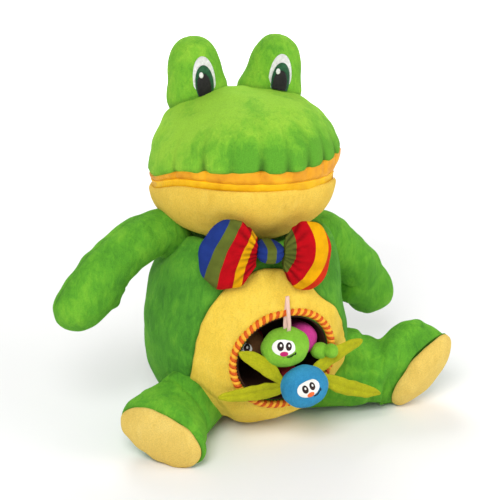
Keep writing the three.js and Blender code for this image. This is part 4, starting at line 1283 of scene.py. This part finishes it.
def leg(side):
    rings, sole, normal = leg_rings(side, np.linspace(0, 1, 120), LEG_COLUMNS)
    hip, *_, outward = leg_frames(side)
    root = root_rings(hip, outward, rings[0], HIP_RADIUS)
    shut = [sole + (rings[-1] - sole) * share + normal * 0.1 for share in (0.985, 0.9, 0.5)]
    form = rows_mesh([*root, *rings, *shut], first=hip - outward * HIP_RADIUS, last=sole)
    top_seam, rim = rings[40:, 0], rings[-1]

    def shape(p, n):
        at_rim, rim_run = near(p, rim, closed=True)
        share = near(p, np.array([hip, sole]))[1] / np.linalg.norm(sole - hip)
        height = 1.1 * lumps(p, 44, 91) + 0.35 * lumps(p, 18, 92)
        height += sewn(*near(p, top_seam), (0.8, 1.4), (0.35, 7), 2.7)
        height += sewn(at_rim, rim_run, (0.7, 2.0), (0.35, 5), 3.3, off=4)
        height -= 2.2 * bump(share - 0.52 - 0.015 * np.sin(p[:, 2] / 7), 0.03) * smooth(0, 14, p[:, 2])
        height *= 1 - smooth(0.35, 0.1, share)
        return p + n * height[:, None]

    piece = make(f"leg_{side}_skin", form, GREEN_PLUSH)
    puffed(piece, 2.0, lambda p: np.minimum(near(p, rim, closed=True)[0], near(p, top_seam)[0]) < SEAM_HELD)
    sculpt(piece, shape)
    sculpt(piece, lambda p, n: np.maximum(p, ON_FLOOR))
    # Painted shade along the leg's seam and round its rim
    paint_seam_shade(piece, (top_seam, 0.6, 1.2, False), (rim, 0.3, 1.4, True))
    dress(piece, f"leg_{side}", "green_plush", f"leg_{side}", fill=0.85)
    pad(side, sole + normal * SEAM_GAP, rim + normal * SEAM_GAP, normal)


def pad(side, middle, rim, normal):
    """A sole: a domed pad, sewn on round its edge."""
    dome = SOLE_DOME[side]
    reach = np.sin(np.linspace(math.pi / 2, 0, 36, endpoint=False))
    rise = dome * (1 - reach**2.4) ** (1 / 2.4)
    domed = [middle + (rim - middle) * r + normal * h for r, h in zip(reach, rise)]
    flat = [middle + (rim - middle) * r for r in (0.4, 0.8, 0.96)]
    form = rows_mesh([*flat, *domed], first=middle, last=middle + normal * dome)

    def shape(p, n):
        at_rim, run = near(p, rim, closed=True)
        height = 0.8 * lumps(p, 30, 95) + sewn(at_rim, run, (0.6, 1.6), (0.4, 5), 3.1, off=5)
        return p + n * height[:, None]

    piece = make(f"sole_{side}_pad", form, SOLE_PLUSH)
    puffed(piece, 1.5, lambda p: near(p, rim, closed=True)[0] < SEAM_HELD)
    sculpt(piece, shape)
    sculpt(piece, lambda p, n: np.maximum(p, ON_FLOOR))
    # Painted shade round the sole's edge
    paint_seam_shade(piece, (rim, 0.35, 1.8, True))
    dress(piece, f"leg_{side}", "yellow_plush", f"sole_{side}", fill=0.8)


for side in SIDES:
    arm(side)
    leg(side)


# Bow tie
BOW_FRAME = rotation((0, 0, 1), -12) @ translation((0, -80, 182.5)) @ rotation((0, 1, 0), 5)
BOW_HALF_SPAN, BOW_HALF_HEIGHT, BOW_HALF_THICKNESS = 58, 32, 11
KNOT = egg(12, 12.5, 22.5, 8, 8, 5, 2.2)
KNOT_SHIFT, LOOP_DROOP, BOW_GAP = 4, 3, 4.0
# Along a loop: the share, and the shares of its height and thickness
BOW_SHARES = np.array([
    (0, 0.46, 0.6), (0.12, 0.78, 0.8), (0.26, 0.93, 1), (0.42, 1, 1), (0.8, 1, 1), (1, 1, 0.8),
])
BLUE, OLIVE, RED = srgb(30, 52, 122), srgb(90, 100, 36), srgb(178, 4, 18)
YELLOW, ORANGE = srgb(222, 160, 4), srgb(198, 46, 16)
# Each loop's stripes from the knot outwards, and how far the stripes bow and lean
STRIPES = {
    "right": ((0, RED), (0.14, YELLOW), (0.29, RED), (0.57, OLIVE), (0.8, BLUE)),
    "left": ((0, OLIVE), (0.2, RED), (0.6, YELLOW), (0.89, ORANGE)),
    "knot": ((0, BLUE), (0.3, OLIVE), (0.64, BLUE)),
}
STRIPE_BEND = {"right": (0.12, 0.2), "left": (0.35, -0.12)}
PLEATS_DEG = (-62, -44, -27, -9, 9, 25, 44, 60)


def striped(part):
    """Woven cotton: flat stripes, painted shade in the pleats' creases, and the weave's relief over them."""
    nodes = Nodes(f"striped_cotton_{part}")
    color = nodes.ramp(nodes.painted("stripe"), STRIPES[part], "CONSTANT")
    color = nodes.shaded(1.0, color, nodes.noise(9), (0.3, 0.82), (0.7, 1.05))
    # Painted shade in the pleats' creases
    color = nodes.darkened(color, "crease", 0.4)
    weave = nodes.noise(0.6, detail=1, stretch=(1, 1, 3))
    color = nodes.shaded(0.3, color, weave, (0.3, 0.7), (0.7, 1.1))
    return nodes.finish(color, 0.8, {"Normal": nodes.relief(weave, 0.15), "Specular IOR Level": 0.08})


def bow_loop(side):
    sign = SIDES[side]
    shares, angle = np.linspace(0, 0.997, 72), turns(72)
    tall, thick = soft_table(BOW_SHARES, shares).T
    closing = (1 - np.clip((shares - 0.45) / 0.55, 0, 1) ** 2.2) ** (1 / 2)
    tall, thick = tall * closing * BOW_HALF_HEIGHT, thick * closing * BOW_HALF_THICKNESS
    start = KNOT["side"] + SEAM_GAP + sign * KNOT_SHIFT
    length = BOW_HALF_SPAN - start
    up = np.sin(angle)
    rings = []
    for share, high, deep in zip(shares, tall, thick):
        folds = 1 - (1 - share) ** 1.3 * (0.28 * bump(up - 0.25, 0.2) + 0.3 * bump(up + 0.35, 0.2))
        folds -= 0.12 * (1 - share) * bump(up - 0.7, 0.12)
        x = np.full(len(angle), sign * (start + share * length))
        rings.append(np.stack([x, deep * np.cos(angle) * folds, high * up - LOOP_DROOP * share], -1))
    tip = np.array([sign * BOW_HALF_SPAN, 0, -LOOP_DROOP])
    form = rows_mesh(rings, first=np.array([sign * start, 0, 0]), last=tip)
    piece = make(f"bow_loop_{side}_cloth", form, striped(side))

    # Where the pleats crease: the loop dips there, and takes painted shade
    def creases(p):
        out = np.abs(p[:, 0]) - start
        angle = np.degrees(np.arctan2(p[:, 2] + LOOP_DROOP * out / length, out + 7))
        return sum(bump(angle - at, 3.2) for at in PLEATS_DEG) * smooth(0.62, 0.1, out / length)

    def depth(p):
        away = smooth(start, start + 14, np.abs(p[:, 0]))
        return 0.8 * lumps(p, 22, 101) * away - 1.8 * creases(p)

    def stripes(p):
        bend, lean = STRIPE_BEND[side]
        high = p[:, 2] / BOW_HALF_HEIGHT
        return (np.abs(p[:, 0]) - start) / length + bend * high**2 + lean * high

    # Painted shade in the pleats' creases
    paint(piece, "crease", creases)
    relief(piece, depth)
    paint(piece, "stripe", stripes)
    panel = inset(TORSO, -PANEL_THICKNESS)
    sculpt(piece, lambda p, n: pushed_out(moved(p, BOW_FRAME), panel, TORSO_CENTER, BOW_GAP))
    dress(piece, "bow_tie", "striped_cotton", f"bow_loop_{side}", fill=0.5)


def bow_knot():
    piece = make("bow_knot_cloth", egg_form(KNOT, np.array([KNOT_SHIFT, 0.0, 0.0]), 72, 48), striped("knot"))
    fold = lambda p, at, lean, width: bump(p[:, 2] - at - lean * p[:, 0], width)
    relief(piece, lambda p: -0.9 * fold(p, 2.5, 0.08, 0.9) - 0.8 * fold(p, -3.5, 0.1, 0.8))
    paint(piece, "stripe", lambda p: 0.5 + (p[:, 0] - KNOT_SHIFT) / (2 * KNOT["side"]))
    sculpt(piece, lambda p, n: pushed_out(moved(p, BOW_FRAME), JAW, JAW_CENTER, 0.8, HEAD_FRAME))
    dress(piece, "bow_tie", "striped_cotton", "bow_knot", fill=0.7)


bow_loop("right")
bow_loop("left")
bow_knot()


# Bugs in the pocket: their places are shares of the pocket's half width from the middle of its rim
POCKET_HALF_WIDTH = TORSO["side"] * math.sin(math.radians(POCKET_DEG[0]))
RIM_CENTER = torso_points(np.array(0.0), np.array(0.0), PANEL_THICKNESS)
BUG_DEPTH, FACE_DEG = 0.9, (34, 25)
PRINT_LIFT, PRINT_STEP, PRINT_THICKNESS = 0.35, 0.22, 0.3
# Each mark of a printed eye: its place, its half sizes, its layer and its colour
EYE_MARKS = (
    ("ring", 0, 0.8, 3.1, 4.3, 1, "black"),
    ("pupil", 0, 0.4, 2.3, 3.4, 2, "brown"),
    ("glint", 0.3, 1.6, 0.9, 1.2, 3, "white"),
)
# Where the two eyes lie across the face, and the ends of the two strokes on the cheek
EYES_ACROSS = (-3.7, 3.5)
CHEEK_STROKES = (((12.4, -9.4), (13, -5.4)), ((11, -8), (14, -7.4)))


def placed(*share):
    return RIM_CENTER + np.array(share) * POCKET_HALF_WIDTH


def bug_egg(width, height):
    return egg(width, height * BUG_DEPTH, height * BUG_DEPTH, height, height, 2, 2)


def jersey(name, shade, lit):
    shade, lit = srgb(*shade), srgb(*lit)
    middle = tuple((a + b) / 2 for a, b in zip(shade, lit))
    return plush(f"{name}_jersey", 0.25, 0.6, shade, middle, lit, sheen=0.2)


LIME = jersey("lime", (96, 158, 34), (140, 198, 60))
SKY = jersey("blue", (28, 112, 158), (62, 156, 200))
MAGENTA = jersey("magenta", (164, 32, 112), (206, 66, 146))
CRIMSON = jersey("crimson", (116, 22, 30), (166, 40, 44))
# The beetle's brown is read off its head deep in the pocket's shade: partly its own brown, partly painted
# shade
BROWN = jersey("brown", (74, 46, 22), (116, 78, 42))
LEAF = jersey("leaf", (140, 142, 8), (186, 184, 24))
PRINTS = {
    name: woven(f"{name}_print", srgb(*shade), srgb(*lit), relief_mm=0.05) for name, shade, lit in (
        ("white", (226, 224, 216), (250, 250, 246)),
        ("black", (12, 12, 14), (34, 32, 34)),
        ("brown", (34, 22, 20), (62, 44, 40)),
        ("pink", (176, 26, 92), (208, 44, 118)),
        ("orange", (226, 96, 44), (244, 130, 70)),
    )
}


def stuffed(name, slot, half, at, material):
    """A stuffed part of a bug: its own name, whose first word is its body, is that of its solid."""
    piece = make(f"{name}_skin", egg_form(half, at, 64, 40), material)
    relief(piece, lambda p: 0.35 * lumps(p, 14, 111))
    dress(piece, name.split("_")[0], slot, name, fill=0.9)


def tube(name, path, radius, material):
    """A round thread along a path."""
    path = np.asarray(path, float)
    heading = unit(np.gradient(path, axis=0))
    beside = unit(np.cross(heading, (0.3, -1, 0.2)))
    taper = np.sqrt(np.clip(np.sin(np.linspace(0.15, math.pi - 0.15, len(path))) * 2, 0, 1)) * radius
    rings = hoops(path, taper[:, None], beside, taper[:, None], np.cross(beside, heading), turns(10))
    return make(name, rows_mesh(rings, first=path[0], last=path[-1]), material)


def bug_face(bug, half, at, look_deg, nose):
    """A printed face: a white patch with two eyes, a nose, a smile and a cheek mark."""
    turn, rise, roll = look_deg
    turning = rotation((0, 0, 1), turn)
    looking = turned(turned(FORWARD, rotation((1, 0, 0), -rise)), turning)
    over = turned(np.cross(looking, turned((1, 0, 0), turning)), rotation(looking, roll))
    beside = unit(np.cross(over, looking))
    radius = half["rise"]

    def direction(x, z):
        return unit(looking + beside * x / radius + over * z / radius)

    def mark(part, x, z, wide, tall, layer, color):
        d = direction(x, z)
        edge = lambda phi: oval(phi, wide / radius, tall / radius)
        above = unit(over - d * (over @ d))
        form = patch_form(half, at, d, above, edge, PRINT_LIFT + PRINT_STEP * layer, PRINT_THICKNESS, 48, 8)
        dress(make(f"{bug}_{part}", form, PRINTS[color]), bug, "face_white")

    def stroke(part, places, thickness):
        ways = [direction(*place) for place in places]
        path = [at + way * (egg_radius(way, half) + PRINT_LIFT) for way in ways]
        dress(tube(f"{bug}_{part}", path, thickness, PRINTS["black"]), bug, "face_white")

    def patch_edge(phi):
        notch = 0.1 * bump(np.sin(phi) - 1, 0.25) * (np.abs(np.cos(phi)) < 0.7)
        return np.radians(oval(phi, *FACE_DEG)) * (1 - notch)

    form = patch_form(half, at, looking, over, patch_edge, SEAM_GAP, 0.45, 72, 10)
    dress(make(f"{bug}_face_patch", form, PRINTS["white"]), bug, "face_white", f"{bug}_face")
    for number, x in enumerate(EYES_ACROSS):
        for part, off, *place_and_looks in EYE_MARKS:
            mark(f"eye_{part}_{number}", x + off, *place_and_looks)
    mark("nose", -0.6, -6.2, 3.6, 2.3, 2, nose)
    bow = -10 - 1.6 * np.sin(np.linspace(0, math.pi, 16)) + np.linspace(0, 2.2, 16)
    stroke("smile", zip(np.linspace(2, 10.5, 16), bow), 0.5)
    for number, ends in enumerate(CHEEK_STROKES):
        stroke(f"cheek_{number}", np.linspace(*ends, 8), 0.4)


def inchworm():
    at, half = placed(-0.02, 0.04, 0.275), bug_egg(22, 18)
    stuffed("inchworm_head", "inchworm_green", half, at, LIME)
    bug_face("inchworm", half, at, (-25, 22, 0), "pink")
    for part, radius, place, slot, material in (
        ("segment_1", 14, placed(0.42, 0.32, 0.26), "inchworm_magenta", MAGENTA),
        ("segment_2", 14, placed(0.5, 0.75, 0.14), "inchworm_magenta", MAGENTA),
        ("foot_1", 7.8, placed(0.67, 0.07, 0.07), "inchworm_green", LIME),
        ("foot_2", 6.5, placed(0.82, -0.07, 0.09), "inchworm_green", LIME),
    ):
        stuffed(f"inchworm_{part}", slot, ball(radius), place, material)
    hang_loop(at, half["rise"])


LOOP_RISE, LOOP_DEPTH, LOOP_SEWN_IN, RIBBON_WIDTH, RIBBON_THICKNESS = 17, 3, 3, 3.4, 0.5


def hang_loop(head_at, head_rise):
    """A sheer ribbon, folded over and sewn into the top of the head."""
    middle = head_at + np.array([0, -1.2 * LOOP_DEPTH, head_rise + LOOP_RISE - LOOP_SEWN_IN])
    angle = turns(72)
    across, up = np.cos(angle), np.sin(angle)
    deep = LOOP_DEPTH * (1 + 0.5 * np.clip(-up, 0, 1)) * across
    line = middle + np.stack([0.6 * np.sin(angle * 2), deep, LOOP_RISE * up], -1)
    outward = unit(np.stack([0 * angle, across / LOOP_DEPTH, up / LOOP_RISE], -1))
    corners = np.array(((-1, -1), (0, -1), (1, -1), (1, 1), (0, 1), (-1, 1))) / 2
    width = np.array([RIBBON_WIDTH, 0, 0])
    rings = [[p + width * x + out * y * RIBBON_THICKNESS for x, y in corners] for p, out in zip(line, outward)]
    nodes = Nodes("sheer_ribbon")
    weave = nodes.noise(0.4, detail=1, stretch=(1, 1, 4))
    color = nodes.ramp(weave, [(0.3, srgb(222, 172, 148)), (0.7, srgb(246, 220, 206))])
    material = nodes.finish(color, 0.35, {"Normal": nodes.relief(weave, 0.08), "Alpha": 0.72})
    piece = make("inchworm_hang_loop_ribbon", rows_mesh(rings, wrap=True), material)
    dress(piece, "inchworm", "ribbon", "inchworm_hang_loop")


# The dragonfly's body and wings: each wing's root and end from the head, and how far it sags
DRAGONFLY_TAIL, DRAGONFLY_RADIUS = np.array([-9.5, 52, 9.5 / 3]), 9.5
WINGS = (
    ((-0.1, 0.14, 0), (-1.5, 0.36, -0.1), -2),
    ((-0.36, 0.14, 0.08), (-1.1, 0.34, 0.7), 3),
    ((0.1, 0.14, 0.06), (1.35, 0.42, 0.49), -4),
    ((0.24, 0.14, 0.14), (1.71, 0.34, -0.62), 3),
)
WING_HALF_WIDTH, WING_HALF_THICKNESS = 7.4, 2.2
WING_WIDTH_SHARES = (0.35, 0.75, 1, 0.95, 0.78, 0.55)


def dragonfly():
    at, half = placed(0.22, -0.26, -0.405), bug_egg(21.5, 19)
    stuffed("dragonfly_head", "dragonfly_blue", half, at, SKY)
    bug_face("dragonfly", half, at, (-10, 18, 20), "orange")
    long_half = np.linalg.norm(DRAGONFLY_TAIL) / 2 + DRAGONFLY_RADIUS
    turn_to = np.array(Vector(DRAGONFLY_TAIL).to_track_quat("Y", "Z").to_matrix().to_4x4())
    body = dict(ball(DRAGONFLY_RADIUS), front=long_half, back=long_half)
    points, faces = egg_form(body, ORIGIN, 48, 48)
    points[:, ::2] *= 1 - 0.07 * np.cos(points[:, 1:2] / 3.2) ** 8
    points = moved(points, translation(at + DRAGONFLY_TAIL / 2) @ turn_to)
    piece = make("dragonfly_body_skin", (points, faces), CRIMSON)
    dress(piece, "dragonfly", "dragonfly_red", "dragonfly_body", fill=0.9)
    for number, (root, end, sag) in enumerate(WINGS, 1):
        wing(number, *(at + np.array(place) * POCKET_HALF_WIDTH for place in (root, end)), sag)


def wing(number, root, end, sag):
    """A leaf-shaped wing of two layers with a little stuffing and a soft fold along its middle."""
    reach = end - root
    along = unit(reach)
    flat = unit(FORWARD - along * (FORWARD @ along))
    beside = np.cross(along, flat)
    shares, angle = np.linspace(0, 0.997, 72), turns(36)
    width = np.interp(shares, np.linspace(0, 1, len(WING_WIDTH_SHARES)), WING_WIDTH_SHARES)
    width *= (1 - np.clip((shares - 0.8) / 0.2, 0, 1) ** 2.4) ** 0.5
    crease = 1 - 0.45 * bump(np.sin(angle) - 0.1, 0.22)
    middles = root + np.outer(shares, reach) + np.outer(sag * np.sin(math.pi * shares), beside)
    thick = WING_HALF_THICKNESS * width[:, None] ** 0.6 * crease
    flats, besides = (np.broadcast_to(v, middles.shape) for v in (flat, beside))
    rings = hoops(middles, thick, flats, WING_HALF_WIDTH * width[:, None], besides, angle)
    piece = make(f"dragonfly_wing_{number}_felt", rows_mesh(rings, first=root, last=end), LEAF)
    relief(piece, lambda p: 0.35 * lumps(p, 12, 120 + number))
    dress(piece, "dragonfly", "wing_green", f"dragonfly_wing_{number}", fill=0.3)


def beetle():
    at, half = placed(-0.49, 0.57, 0.17), bug_egg(14, 14)
    stuffed("beetle_head", "beetle_brown", half, at, BROWN)
    bug_face("beetle", half, at, (-45, 10, 0), "orange")
    stuffed("beetle_body", "dragonfly_red", bug_egg(15, 13), placed(-0.34, 1.01, 0.08), CRIMSON)


inchworm()
dragonfly()
beetle()
